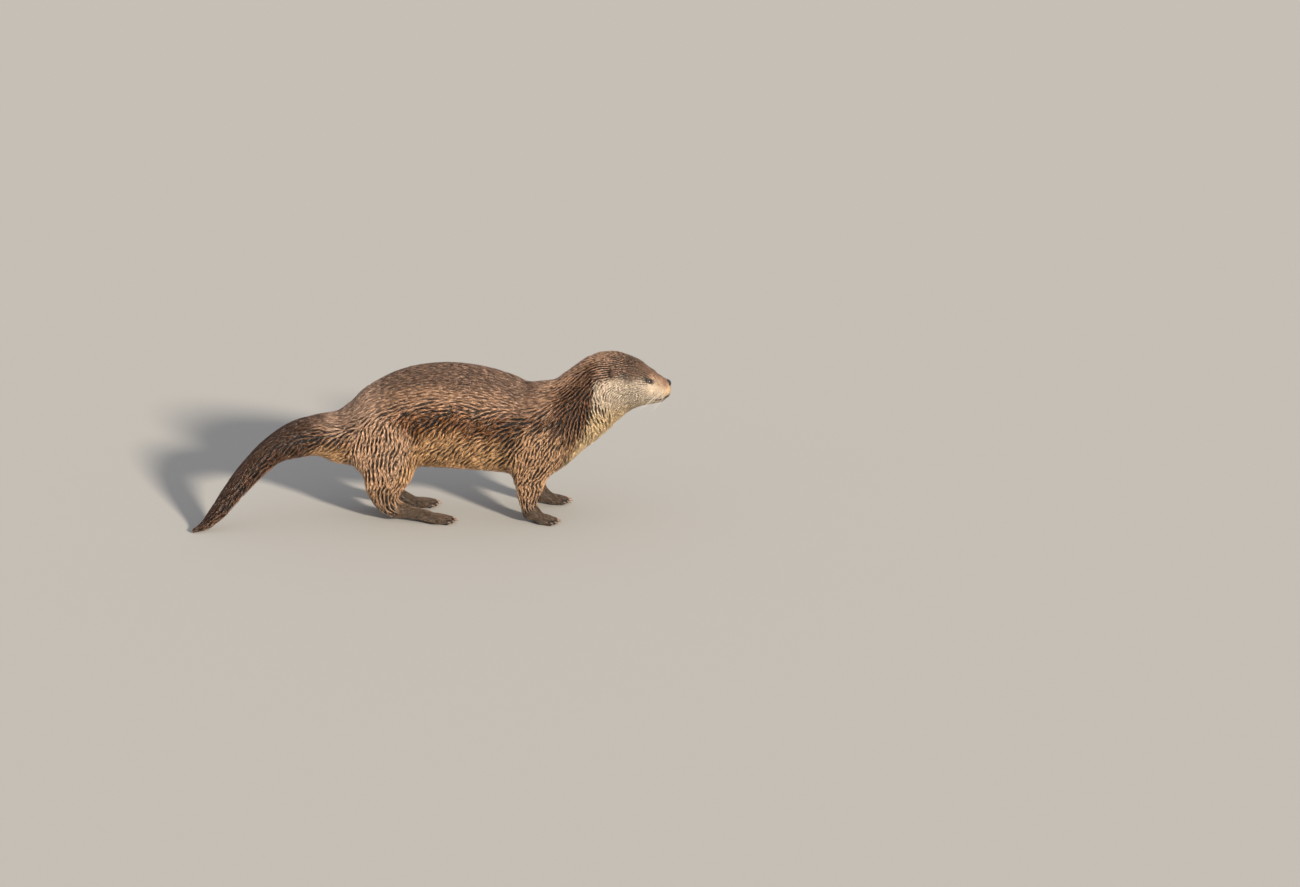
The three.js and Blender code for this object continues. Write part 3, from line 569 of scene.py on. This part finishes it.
def markings(points, share, round_back):
    """The fur's colour at each point in linear light, with painted sheen on flank, rump and haunch: skin
    and coat both follow it.
    """
    x, _, z = points.T
    wobble = drift(points, 26, 3) * 4 + drift(points, 9, 4) * 2

    def weight(*parts):
        return sum(share[:, PARTS.index(part)] for part in parts)[:, None]

    def tone(colour):
        return linear(colour)[None, :]

    around = round_back + wobble * 2
    # round the trunk from the back: a band of painted sheen, then the flank and the belly
    trunk = mix(tone(BROWN_BACK), tone(SHEEN_PAINTED_BROWN), ramp(28, 48, around)[:, None])
    trunk = mix(trunk, tone(BROWN_FLANK), ramp(56, 76, around)[:, None])
    trunk = mix(trunk, tone(BROWN_BELLY), ramp(88, 120, around)[:, None])
    trunk = mix(trunk, tone(BROWN_NECK), (ramp(100, 215, x) * ramp(38, 68, around) * 0.85)[:, None])
    # painted sheen on the top of the rump
    rump_sheen = ramp(-230, -170, x) * ramp(-70, -120, x) * ramp(95, 70, around)
    trunk = mix(trunk, tone(RUMP_PAINTED_SHEEN), (0.8 * rump_sheen)[:, None])
    tail = mix(tone(BROWN_TAIL), tone(RUST), ramp(75, 135, around)[:, None])
    tail = mix(tail, trunk, ramp(-260, -190, x)[:, None])
    neck = mix(tone(BROWN_CAP), tone(BROWN_NECK), ramp(8, 42, around)[:, None])
    # painted sheen high on the haunch
    leg = mix(tone(BROWN_LEG), tone(HAUNCH_PAINTED_SHEEN), (ramp(60, 130, z) * ramp(60, 0, x))[:, None])
    leg = mix(tone(PAW_BROWN), leg, ramp(22, 84, z + wobble)[:, None])
    colour = (
        weight("torso") * trunk
        + weight("tail") * tail
        + weight("neck") * neck
        + weight("head") * tone(BROWN_CAP)
        + weight("ear") * tone(BROWN_EAR)
        + weight("foreleg", "hindleg") * leg
        + weight("paw") * tone(PAW_BROWN)
    )
    # cream on the cheeks, lips, chin, throat and front of the chest
    edge = np.interp(z + wobble, *zip(*CREAM_EDGE))
    cap = np.interp(x, *zip(*CAP_EDGE)) + wobble
    inside = np.minimum(x - edge, cap - z)
    front = weight("head", "neck", "torso")[:, 0] * ramp(100, 125, z)
    pale = mix(tone(BUFF), tone(CREAM), ramp(215, 265, z)[:, None])
    pale = mix(pale, tone(MUZZLE), ramp(446, 478, x)[:, None])
    colour = mix(colour, pale, (ramp(-10, 11, inside) * front)[:, None])
    # a dark line between the lips, under the nose and round each eye
    dark = np.maximum(ramp(2.4, 1.0, from_lips(points)), ramp(2, 1, from_philtrum(points)))
    dark = np.maximum(dark, ramp(1.7, 1.25, round_slit(points)) * 0.9)
    colour = mix(colour, tone(LIP_DARK), dark[:, None] * weight("head"))
    # paler toes
    for toe in all_toes():
        near = ramp(8.5, 4, np.linalg.norm(points - toe["tip"], axis=1))
        colour = mix(colour, tone(TOE_PALE), (near * 0.7)[:, None])
    return colour


def from_lips(points):
    """How far each point is from the line between the lips, seen from the side."""
    flat = points * (1, 0, 1)
    nearest = on_line(flat, [(x, 0, z) for x, z in MOUTH])[1]
    return np.linalg.norm(flat - nearest, axis=1)


def from_philtrum(points):
    """How far each point is from the upright groove under the nose, in half widths of it."""
    x, y, z = points.T
    off = np.maximum(PHILTRUM["low"] - z, z - PHILTRUM["high"])
    off = np.maximum(off, np.abs(y)) + np.maximum(PHILTRUM["behind"] - x, 0)
    return off / PHILTRUM["half"]


def all_toes():
    """Each toe's tip and the way it points."""
    toes = []
    for paw in PAWS.values():
        for i in range(TOES):
            place = 2 * i / (TOES - 1) - 1
            way = math.radians(paw["turn"] + place * paw["fan"])
            long = paw["reach"] * (1 - 0.17 * (place - 0.15) ** 2)
            x = paw["ball"][0] + math.cos(way) * long
            y = (paw["ball"][1] + math.sin(way) * long + place * 4) * paw["side"]
            toes.append({"tip": np.array([x, y, TOE_HIGH]), "way": way * paw["side"]})
    return toes


# ---------------------------------------- the coat


class Roots:
    """Places on the skin, drawn with a given density, with the skin's values there."""

    def __init__(self, skin, density, count):
        corners = skin.points[skin.quads]
        crossed = np.cross(corners[:, 2] - corners[:, 0], corners[:, 3] - corners[:, 1])
        area = np.linalg.norm(crossed, axis=1) / 2
        wanted = area * density[skin.quads].mean(axis=1)
        quads = skin.quads[rng.choice(len(area), count, p=wanted / wanted.sum())]
        u, v = rng.random((2, count, 1))
        shares = [(1 - u) * (1 - v), u * (1 - v), u * v, (1 - u) * v]

        def at(values):
            return sum(values[quads[:, i]] * shares[i] for i in range(4))

        self.points = at(skin.points)
        self.normals = unit(at(skin.normals))
        self.growth = at(skin.growth)
        self.lie = unit(at(skin.lie))
        self.owner = skin.owner[quads[:, 0]]

    def chosen(self, which):
        """Some of the roots, as Roots of their own."""
        some = copy(self)
        for name, values in vars(self).items():
            setattr(some, name, values[which])
        return some


class Surface:
    """Finds the skin's point under a place, and where in its lock the place lies."""

    def __init__(self, skin):
        self.skin = skin
        self.tree = KDTree(len(skin.points))
        for index, point in enumerate(skin.points):
            self.tree.insert(point, index)
        self.tree.balance()

    def near(self, points):
        """The index of the skin's point nearest to each place."""
        return np.array([self.tree.find(point)[1] for point in points.tolist()])

    def in_lock(self, points, found):
        """How far across its lock, -0.5 to 0.5, and along it, 0 to 1, a point is, and the lock's middle."""
        skin = self.skin
        step = points - skin.points[found]
        wide, long = skin.growth[found, LOCK_WIDE], skin.growth[found, LOCK_LONG]
        lie = skin.lie[found]
        side = np.cross(skin.normals[found], lie)
        across = np.angle(skin.across[found]) / (2 * math.pi) + np.sum(step * side, axis=1) / wide
        across -= np.round(across)
        middle = points - side * (across * wide)[:, None]
        onward = np.angle(skin.onward[found]) / (2 * math.pi) + np.sum(step * lie, axis=1) / long
        onward = np.mod(onward + 0.9 * drift(middle, 7, 21), 1)
        return across, onward, middle


# Shares of a tuft's length at its rings, of its half width and height there, and the painted shade at its
# root.
LOCK = {"stops": (0, 0.42, 1), "wide": (0.8, 1, 0), "rise": (0, 0.72, 1), "root": 0.75}
SPIKE = {"stops": (0, 1), "wide": (1, 0), "rise": (0, 1), "root": 0.95}
ROOT_SUNK = 0.5
PULL = 0.94  # how far a fully gathered lock's tufts are drawn to its middle
STRAY = 0.09  # how far a tuft turns away from the coat's lie, in radians
# How many times lighter or darker tufts are painted: a painted highlight on a lock's crest and at its end,
# painted shade in the gap beside it, at the lock's start and at the roots that wet locks shut in
CREST_LIGHT = 2.9
GAP_LIGHT = 0.05
START_LIGHT = 0.25
END_LIGHT = 1.4
SHUT_ROOT_SHADE = 0.08
# Pale fur, by the blue in its linear colour, lets light through, so its painted gap shade and lighter tips
# differ less.
PALE = {"from": 0.35, "to": 0.42, "opens": 0.7, "tip": 1.3}
GRAIN = (0.8, 1.12)  # how far the fur's fine grain darkens and lightens it
BRIGHTEST = 0.89  # the strongest channel of any tuft, before its grain
PATCH = 0.003  # a tuft's width on the OFBake map
EDGE = 0.02  # and the map's empty edge


def tuft_faces(rings, count):
    """Triangles of closed tufts that each have rings of three corners and a tip."""
    one = [(0, 2, 1)]
    for ring in range(rings - 1):
        for i in range(3):
            a, b = ring * 3 + i, ring * 3 + (i + 1) % 3
            one += [(a, b, b + 3), (a, b + 3, a + 3)]
    last = (rings - 1) * 3
    one += [(last + i, last + (i + 1) % 3, rings * 3) for i in range(3)]
    each = rings * 3 + 1
    return (np.array(one)[None] + np.arange(count)[:, None, None] * each).reshape(-1, 3)


def tuft_points(spots, ups, half, form):
    """Corners of closed tufts round their centre lines: three at each ring and one at the tip."""
    ways = unit(np.gradient(spots, axis=0))
    sides = unit(np.cross(ups, ways))
    corners = []
    for ring in range(len(spots) - 1):
        wide = (half * form["wide"][ring])[:, None]
        reach = wide * sides[ring]
        crown = np.cross(ways[ring], sides[ring]) * (wide * 0.5)
        corners += [spots[ring] - reach, spots[ring] + reach, spots[ring] + crown]
    corners.append(spots[-1])
    return np.stack(corners, axis=1).reshape(-1, 3)


def tuft_colours(colour, tint, shades, root, tip, form):
    """A colour for each corner in its root's hue, with painted shade at the root and each ring's painted
    light.
    """
    most = colour.max(axis=1)
    hue = colour / most[:, None]
    most = np.clip(most * tint, 0.003, 0.9)
    colours = []
    for ring, stop in enumerate(form["stops"]):
        light = mix(root, 1, ramp(0, 0.6, stop)) * (1 + (tip - 1) * stop**1.6)
        bright = np.minimum(1 - (1 - most) ** (shades[ring] * light), BRIGHTEST)
        shade = hue * bright[:, None]
        colours += [shade] * (3 if ring < len(form["stops"]) - 1 else 1)
    return np.stack(colours, axis=1).reshape(-1, 3)


def grow(surface, roots, form):
    """Points, faces and colours, with painted crest highlights and gap shade, of one tuft from each root,
    drawn into its lock.
    """
    skin = surface.skin
    growth = roots.growth
    gather = growth[:, GATHER]
    count = len(roots.points)
    found = surface.near(roots.points)
    off, onward, middle = surface.in_lock(roots.points, found)
    lock = middle + roots.lie * ((0.5 - onward) * growth[:, LOCK_LONG])[:, None]
    tint = 1 + 0.30 * gather**2 * drift(lock, 8, 31) + 0.07 * drift(lock, 60, 32)
    tint *= 1 + rng.normal(size=count) * (0.04 + 0.10 * gather**2)
    pale = ramp(PALE["from"], PALE["to"], roots.colour[:, 2])
    shut = gather * (1 - PALE["opens"] * pale)
    length = growth[:, LENGTH] * rng.uniform(0.82, 1.15, count) * (1 - 0.4 * gather * onward)
    # a lock is highest along its middle, with a painted highlight there and painted shade towards its edges
    crest = 1 + gather * (0.5 - 4.6 * off**2)
    lit = mix(1, mix(CREST_LIGHT, GAP_LIGHT, ramp(0.05, 0.32, np.abs(off))), shut)
    tall = growth[:, DEPTH] * crest * rng.uniform(0.8, 1.05, count)
    turn = rng.normal(0, STRAY, count)
    spot, normal, lie = roots.points, roots.normals, roots.lie
    spots, ups, shades = [], [], []
    before = 0.0
    for stop, rise in zip(form["stops"], form["rise"]):
        way = lie * np.cos(turn)[:, None] + np.cross(normal, lie) * np.sin(turn)[:, None]
        spot = spot + way * (length * (stop - before))[:, None]
        if stop > before:
            found = surface.near(spot)
            normal, lie = skin.normals[found], skin.lie[found]
            spot = spot - normal * np.sum((spot - skin.points[found]) * normal, axis=1)[:, None]
        across, onward, _ = surface.in_lock(spot, found)
        pull = gather * min(1, stop * 1.8) * PULL
        aside = across * growth[:, LOCK_WIDE] * pull
        # a lock also rises towards its end
        lift = tall * rise * (0.72 + 0.28 * onward) - ROOT_SUNK * (stop == 0)
        spots.append(spot - np.cross(normal, lie) * aside[:, None] + normal * lift[:, None])
        ups.append(normal)
        # painted shade towards the lock's edges and at its start, and a painted highlight at its end
        gap = 1 - 0.97 * shut * np.minimum(np.abs(2 * across) * (1 - 0.9 * pull), 1) ** 1.1
        shades.append(lit * gap * mix(1, mix(START_LIGHT, END_LIGHT, onward), shut**2))
        before = stop
    spots = np.array(spots)
    spots[:, :, 2] = np.maximum(spots[:, :, 2], FUR_CLEAR)
    points = tuft_points(spots, np.array(ups), growth[:, HALF], form)
    # painted shade at the tuft's root, deepest where wet locks shut the roots in
    root = mix(form["root"], SHUT_ROOT_SHADE, ramp(0.3, 0.9, shut))
    tip = mix(growth[:, TIP], PALE["tip"], pale)
    colours = tuft_colours(roots.colour, tint, shades, root, tip, form)
    return points, tuft_faces(len(spots) - 1, count), colours


def bake_map(roots, rings):
    """A small patch of the OFBake map for each tuft, by its place along the body or leg and round it."""
    along, place, way = on_line(roots.points, SPINE)
    for index, node in enumerate(FLESH):
        line = LEGS.get(node) or LEGS.get(node.replace("paw", "leg"))
        if line is None:
            continue
        side = -1 if node.endswith("right") else 1
        here = roots.owner == index
        if node in PAWS:
            line = [*line, (*PAWS[node]["ball"], 8)]
        far, spot, run = on_line(roots.points[here], np.array(line) * (1, side, 1))
        along[here], place[here], way[here] = far, spot, run
    out = roots.points - place
    first = unit(np.cross(way, (0, 1, 0.001)))
    second = np.cross(way, first)
    turn = np.arctan2(np.sum(out * second, axis=1), np.sum(out * first, axis=1)) / (2 * math.pi) + 0.5
    along = (along - along.min()) / max(np.ptp(along), 1)
    centre = np.stack([along, turn], axis=1) * (1 - 2 * EDGE) + EDGE
    corners = []
    for ring in range(rings):
        for across in (-0.5, 0.5, 0):
            corners.append(centre + np.array([across, ring / rings - 0.5]) * PATCH)
    corners.append(centre + np.array([0, 0.5]) * PATCH)
    return np.stack(corners, axis=1).reshape(-1, 2)


def root_density(skin):
    """Closer tufts where they are small, few on the soles and in the gaps, none on the claws and eyes."""
    density = 1 / (skin.growth[:, LENGTH] * skin.growth[:, HALF]) ** 0.66
    density *= np.where(skin.points[:, 2] < 3.5, 0.05, 1)
    # the plain spikes of the head and paws have fewer faces, so there are more of them
    density *= 1 + 1.1 * skin.weight("head", "ear") + 0.1 * skin.weight("paw")
    across = np.abs(np.angle(skin.across)) / (2 * math.pi)
    density *= 1 - 0.92 * skin.growth[:, GATHER] * ramp(0.2, 0.46, across)
    density *= ramp(1.2, 1.5, round_slit(skin.points))
    for toe in all_toes():
        density *= 1 - ramp(8.5, 5.5, np.linalg.norm(skin.points - toe["tip"], axis=1))
    return density


def make_coat(skin, surface):
    """The coat in pieces by the part of the body, right and left apart on the head and trunk."""
    wet_fur = fur_material("wet_fur", 0.3, 0.75, 260)
    roots = Roots(skin, root_density(skin), TUFTS)
    # each tuft takes its colour a little way off, so that markings meet hair by hair
    stray = rng.normal(0, 0.26, roots.points.shape) * roots.growth[:, LENGTH, None]
    roots.colour = skin.colour[surface.near(roots.points + stray)]
    kinds = np.array([part_of(node) for node in FLESH])[roots.owner]
    right = roots.points[:, 1] < 0
    x = roots.points[:, 0]
    head = (kinds == "head") | (kinds == "ear")
    # plain spikes on the face, more and more locks towards the nape
    spiky = head & (rng.random(len(x)) < ramp(345, 410, x))
    nape = (kinds == "neck") | (head & ~spiky)
    torso = kinds == "torso"
    tail = kinds == "tail"
    pieces = {
        "coat_tail_root": (tail & (x > -310), LOCK),
        "coat_tail_end": (tail & (x <= -310), LOCK),
        "coat_forelegs": (kinds == "foreleg", LOCK),
        "coat_hindlegs": (kinds == "hindleg", LOCK),
        "coat_forepaws": ((kinds == "paw") & (x > 90), SPIKE),
        "coat_hindpaws": ((kinds == "paw") & (x <= 90), SPIKE),
    }
    for name, half in (("right", right), ("left", ~right)):
        pieces[f"coat_head_{name}"] = (spiky & half, SPIKE)
        pieces[f"coat_neck_{name}"] = (nape & half, LOCK)
        pieces[f"coat_shoulder_{name}"] = (torso & half & (x > 110), LOCK)
        pieces[f"coat_flank_{name}"] = (torso & half & (x <= 110) & (x > -40), LOCK)
        pieces[f"coat_haunch_{name}"] = (torso & half & (x <= -40), LOCK)
    total = 0
    for name, (which, form) in pieces.items():
        some = roots.chosen(which)
        points, faces, colours = grow(surface, some, form)
        bake = bake_map(some, len(form["stops"]) - 1)
        dress(mesh_from(name, points, faces, colours, bake), wet_fur)
        total += len(faces)
    print("coat triangles", total)


# ---------------------------------------- materials


def node_in(material, kind, **settings):
    node = material.node_tree.nodes.new(kind)
    for name, value in settings.items():
        setattr(node, name, value)
    return node


def link(material, out, into):
    material.node_tree.links.new(out, into)


def principled(name, roughness):
    """A new principled material and its shader node."""
    material = bpy.data.materials.new(name)
    material.use_nodes = True
    shader = material.node_tree.nodes["Principled BSDF"]
    shader.inputs["Roughness"].default_value = roughness
    return material, shader


def grain_in(material, shader, scale, detail, depth):
    """Fine noise, which also raises the surface by some metres where a depth is given."""
    place = node_in(material, "ShaderNodeTexCoord")
    grain = node_in(material, "ShaderNodeTexNoise")
    grain.inputs["Scale"].default_value = scale
    grain.inputs["Detail"].default_value = detail
    link(material, place.outputs["Object"], grain.inputs["Vector"])
    if depth:
        bump = node_in(material, "ShaderNodeBump")
        bump.inputs["Distance"].default_value = depth
        link(material, grain.outputs["Fac"], bump.inputs["Height"])
        link(material, bump.outputs["Normal"], shader.inputs["Normal"])
    return grain.outputs["Fac"]


def fur_material(name, roughness, specular, grain_scale, grain_depth=0.0):
    """A material whose colour is the Fur attribute with a fine uneven tone."""
    material, shader = principled(name, roughness)
    shader.inputs["Specular IOR Level"].default_value = specular
    grain = grain_in(material, shader, grain_scale, 3, grain_depth)
    fur = node_in(material, "ShaderNodeAttribute", attribute_name="Fur")
    tone = node_in(material, "ShaderNodeMapRange")
    tone.inputs["To Min"].default_value, tone.inputs["To Max"].default_value = GRAIN
    link(material, grain, tone.inputs["Value"])
    scaled = node_in(material, "ShaderNodeVectorMath", operation="SCALE")
    link(material, fur.outputs["Color"], scaled.inputs[0])
    link(material, tone.outputs["Result"], scaled.inputs["Scale"])
    link(material, scaled.outputs["Vector"], shader.inputs["Base Color"])
    return material


def plain_material(name, colour, roughness, grain_scale=400.0, grain_depth=0.0, coat=0.0):
    """A material of one colour, broken up by fine noise, under a clear wet coat where one is given."""
    material, shader = principled(name, roughness)
    shader.inputs["Coat Weight"].default_value = coat
    shader.inputs["Coat Roughness"].default_value = 0.05
    grain = grain_in(material, shader, grain_scale, 4, grain_depth)
    tones = node_in(material, "ShaderNodeValToRGB")
    for stop, position, light in zip(tones.color_ramp.elements, (0.3, 0.7), (0.7, 1.25)):
        stop.position = position
        stop.color = (*np.minimum(linear(colour) * light, 1), 1)
    link(material, grain, tones.inputs["Fac"])
    link(material, tones.outputs["Color"], shader.inputs["Base Color"])
    return material


def dress(piece, material):
    """Gives a finished piece its material, body and slot."""
    piece.data.materials.append(material)
    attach(piece, "root")


# ---------------------------------------- eyes, nose, claws, whiskers


def tube(name, runs, sides):
    """Tapering tubes as one piece: each run is a list of (place, radius) and closes at both ends."""
    points, faces = [], []
    for run in runs:
        places = np.array([place for place, _ in run], float)
        ways = unit(np.gradient(places, axis=0))
        side = unit(np.cross(ways, (0.13, 0.21, 1.0)))
        up = np.cross(side, ways)
        base = len(points)
        for (place, radius), a, b in zip(run, side, up):
            for i in range(sides):
                turn = 2 * math.pi * i / sides
                points.append(np.array(place) + (a * math.cos(turn) + b * math.sin(turn)) * radius)
        last = base + (len(run) - 1) * sides
        for ring in range(len(run) - 1):
            for i in range(sides):
                a = base + ring * sides + i
                b = base + ring * sides + (i + 1) % sides
                faces += [(a, a + sides, b + sides), (a, b + sides, b)]
        for i in range(1, sides - 1):
            faces += [(base, base + i, base + i + 1), (last, last + i + 1, last + i)]
    return mesh_from(name, np.array(points), faces)


def make_eyes():
    """Wet dark eyeballs and the bare rims of their lids."""
    glossy = plain_material("eye_wet", EYE_DARK, 0.08, 300, coat=0.8)
    rim = plain_material("lid_rim", LIP_DARK, 0.42, 900, 0.0002)
    for name, side in (("right", -1), ("left", 1)):
        at, gaze, along, up = gaze_frame(side)
        ball = bpy.data.meshes.new(f"eyeball_{name}")
        shape = bmesh.new()
        bmesh.ops.create_uvsphere(shape, u_segments=40, v_segments=24, radius=EYE["radius"] * MM)
        for vertex in shape.verts:
            vertex.co += Vector(to_frame(at))
        for face in shape.faces:
            face.smooth = True
        shape.to_mesh(ball)
        shape.free()
        piece = bpy.data.objects.new(f"eyeball_{name}", ball)
        bpy.context.scene.collection.objects.link(piece)
        dress(piece, glossy)
        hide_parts(f"eye_{name}")
        run = []
        for angle in np.linspace(0, 2 * math.pi, LID_RIM["steps"]):
            a, b = almond(angle)
            ray = unit(gaze * EYE["radius"] + along * a + up * b)
            run.append((at + ray * (EYE["radius"] + LID_RIM["out"]), LID_RIM["radius"]))
        dress(tube(f"lid_rim_{name}", [run], 8), rim)


def make_nose():
    """The nose pad, with comma-shaped nostrils, a middle furrow and pebbled skin."""
    points, quads, web = remeshed(["nose_pad"], NOSE_VOXEL, 0)
    points = smoothed(points, web, ROUNDS["nose"])
    middle = (points.min(axis=0) + points.max(axis=0)) / 2
    x, y, z = (points - middle).T
    side = np.abs(y)
    # each nostril runs out and up round the side of the pad, and the furrow runs down between them
    comma = [(0, 4.2, -0.6), (0, 6.2, -0.4), (0, 8.2, 1.0), (0, 9.6, 3.2)]
    flat = np.stack([np.zeros_like(x), side, z], axis=1)
    off = np.linalg.norm(flat - on_line(flat, comma)[1], axis=1)
    nostril = 1.5 * ramp(1.5, 0.4, off)
    furrow = 0.8 * ramp(1.1, 0.2, side) * ramp(2.5, 0.5, z)
    # the wings over the nostrils stand out, and the top edge dips in the middle
    wing = 0.7 * ramp(3.4, 1.6, np.hypot(side - 7, z - 3.2))
    front = ramp(-2, 3, x)
    points[:, 0] += (wing - (nostril + furrow)) * front
    points[:, 2] -= 0.3 * ramp(4, 0, side) * ramp(2, 7, z)
    piece = mesh_from("nose_leather", points, quads)
    dress(piece, plain_material("nose_leather", NOSE_DARK, 0.36, 1100, 0.0006, 0.25))
    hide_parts("nose_pad")


def make_claws():
    """A short drooping claw out of each toe."""
    runs = []
    for toe in all_toes():
        way = np.array([math.cos(toe["way"]), math.sin(toe["way"]), 0])
        start = toe["tip"] + way * 1.5 + (0, 0, 1.6)
        run = []
        for share in np.linspace(0, 1, 7):
            bend = math.radians(CLAW["droop"]) * share
            spot = start + way * CLAW["length"] * share * math.cos(bend)
            spot[2] = max(spot[2] - CLAW["length"] * share * math.sin(bend) * 0.8, FUR_CLEAR)
            run.append((spot, CLAW["radius"] * (1 - share) ** 0.7 * 0.9 + CLAW["tip"]))
        runs.append(run)
    dress(tube("claws", runs, 8), plain_material("claw", HORN, 0.34, 700))


def make_whiskers(surface):
    """Stiff pale whiskers in rows on both pads of the muzzle, swept back."""
    runs = []
    pad = WHISKER_PAD
    for side in (-1, 1):
        for row in range(pad["rows"]):
            for i in range(pad["in_row"]):
                x = pad["at"][0] + pad["half"][0] * (2 * i / (pad["in_row"] - 1) - 1)
                z = pad["at"][1] + pad["half"][1] * (2 * row / (pad["rows"] - 1) - 1)
                beside = np.array([[x, 30.0 * side, z]])
                root = surface.skin.points[surface.near(beside)[0]]
                long = rng.uniform(WHISKER["shortest"], WHISKER["longest"])
                long *= 1.15 - 0.35 * i / pad["in_row"]
                out = unit(np.array([-0.15 - 0.5 * rng.random(), 0.9 * side, -0.15 - 0.35 * rng.random()]))
                run = []
                for share in np.linspace(0, 1, 8):
                    sweep = np.array([-0.45, 0, -0.22]) * share**2 * long
                    radius = WHISKER["root"] * (1 - share) + WHISKER["tip"]
                    run.append((root + out * long * share + sweep, radius))
                runs.append(run)
    dress(tube("whiskers", runs, 4), plain_material("whisker", WHISKER_PALE, 0.4))


# ---------------------------------------- the otter


def make_hide(skin):
    """The skin itself: darkened as painted shade to match the gaps between wet locks, and fur-coloured
    where no locks gather.
    """
    open_hide = ramp(0.55, 0.3, skin.growth[:, GATHER])[:, None]
    # painted shade: the skin under gathered locks is darkened to the shadow of the gaps
    under = skin.colour * mix(0.05, 0.92, open_hide)
    skin_piece = mesh_from("skin", skin.points, skin.quads, colours=under)
    dress(skin_piece, fur_material("hide", 0.55, 0.35, 900, 0.0007))
    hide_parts(*FLESH)


skin = Skin()
surface = Surface(skin)
make_hide(skin)
make_coat(skin, surface)
make_eyes()
make_nose()
make_claws()
make_whiskers(surface)

# ---------------------------------------- floor, lights and camera


def make_floor():
    """A plain pale floor that fills the view."""
    bpy.ops.mesh.primitive_plane_add(size=30, location=(0, 0, 0))
    floor = bpy.context.object
    floor.name = "floor"
    pale, shader = principled("floor_pale", 0.9)
    shader.inputs["Base Color"].default_value = (*linear(FLOOR_GREY), 1)
    floor.data.materials.append(pale)


def make_lights():
    """A low warm key from the front right, and a soft cool sky."""
    sun = bpy.data.lights.new("key", "SUN")
    sun.energy = SUN["strength"]
    sun.angle = math.radians(SUN["wide"])
    sun.color = SUN["colour"]
    key = bpy.data.objects.new("key", sun)
    key.rotation_euler = Vector(SUN["from"]).to_track_quat("Z", "Y").to_euler()
    bpy.context.scene.collection.objects.link(key)
    world = bpy.data.worlds.new("sky")
    world.use_nodes = True
    back = world.node_tree.nodes["Background"]
    back.inputs["Color"].default_value = (*SKY["colour"], 1)
    back.inputs["Strength"].default_value = SKY["strength"]
    bpy.context.scene.world = world


def make_camera():
    """A long lens that looks at the animal's right side from a little above."""
    rise = math.radians(CAMERA["rise"])
    camera = bpy.data.cameras.new("camera")
    camera.sensor_width = CAMERA["sensor"]
    camera.lens = CAMERA["sensor"] * CAMERA["metres_off"] / CAMERA["metres_wide"]
    camera.clip_end = 100
    piece = bpy.data.objects.new("camera", camera)
    back = Vector((0, -math.cos(rise), math.sin(rise)))
    piece.location = Vector(to_frame(CAMERA["aim"])) + back * CAMERA["metres_off"]
    piece.rotation_euler = back.to_track_quat("Z", "Y").to_euler()
    bpy.context.scene.collection.objects.link(piece)
    bpy.context.scene.camera = piece


make_floor()
make_lights()
make_camera()
bpy.context.scene.view_settings.view_transform = "Standard"
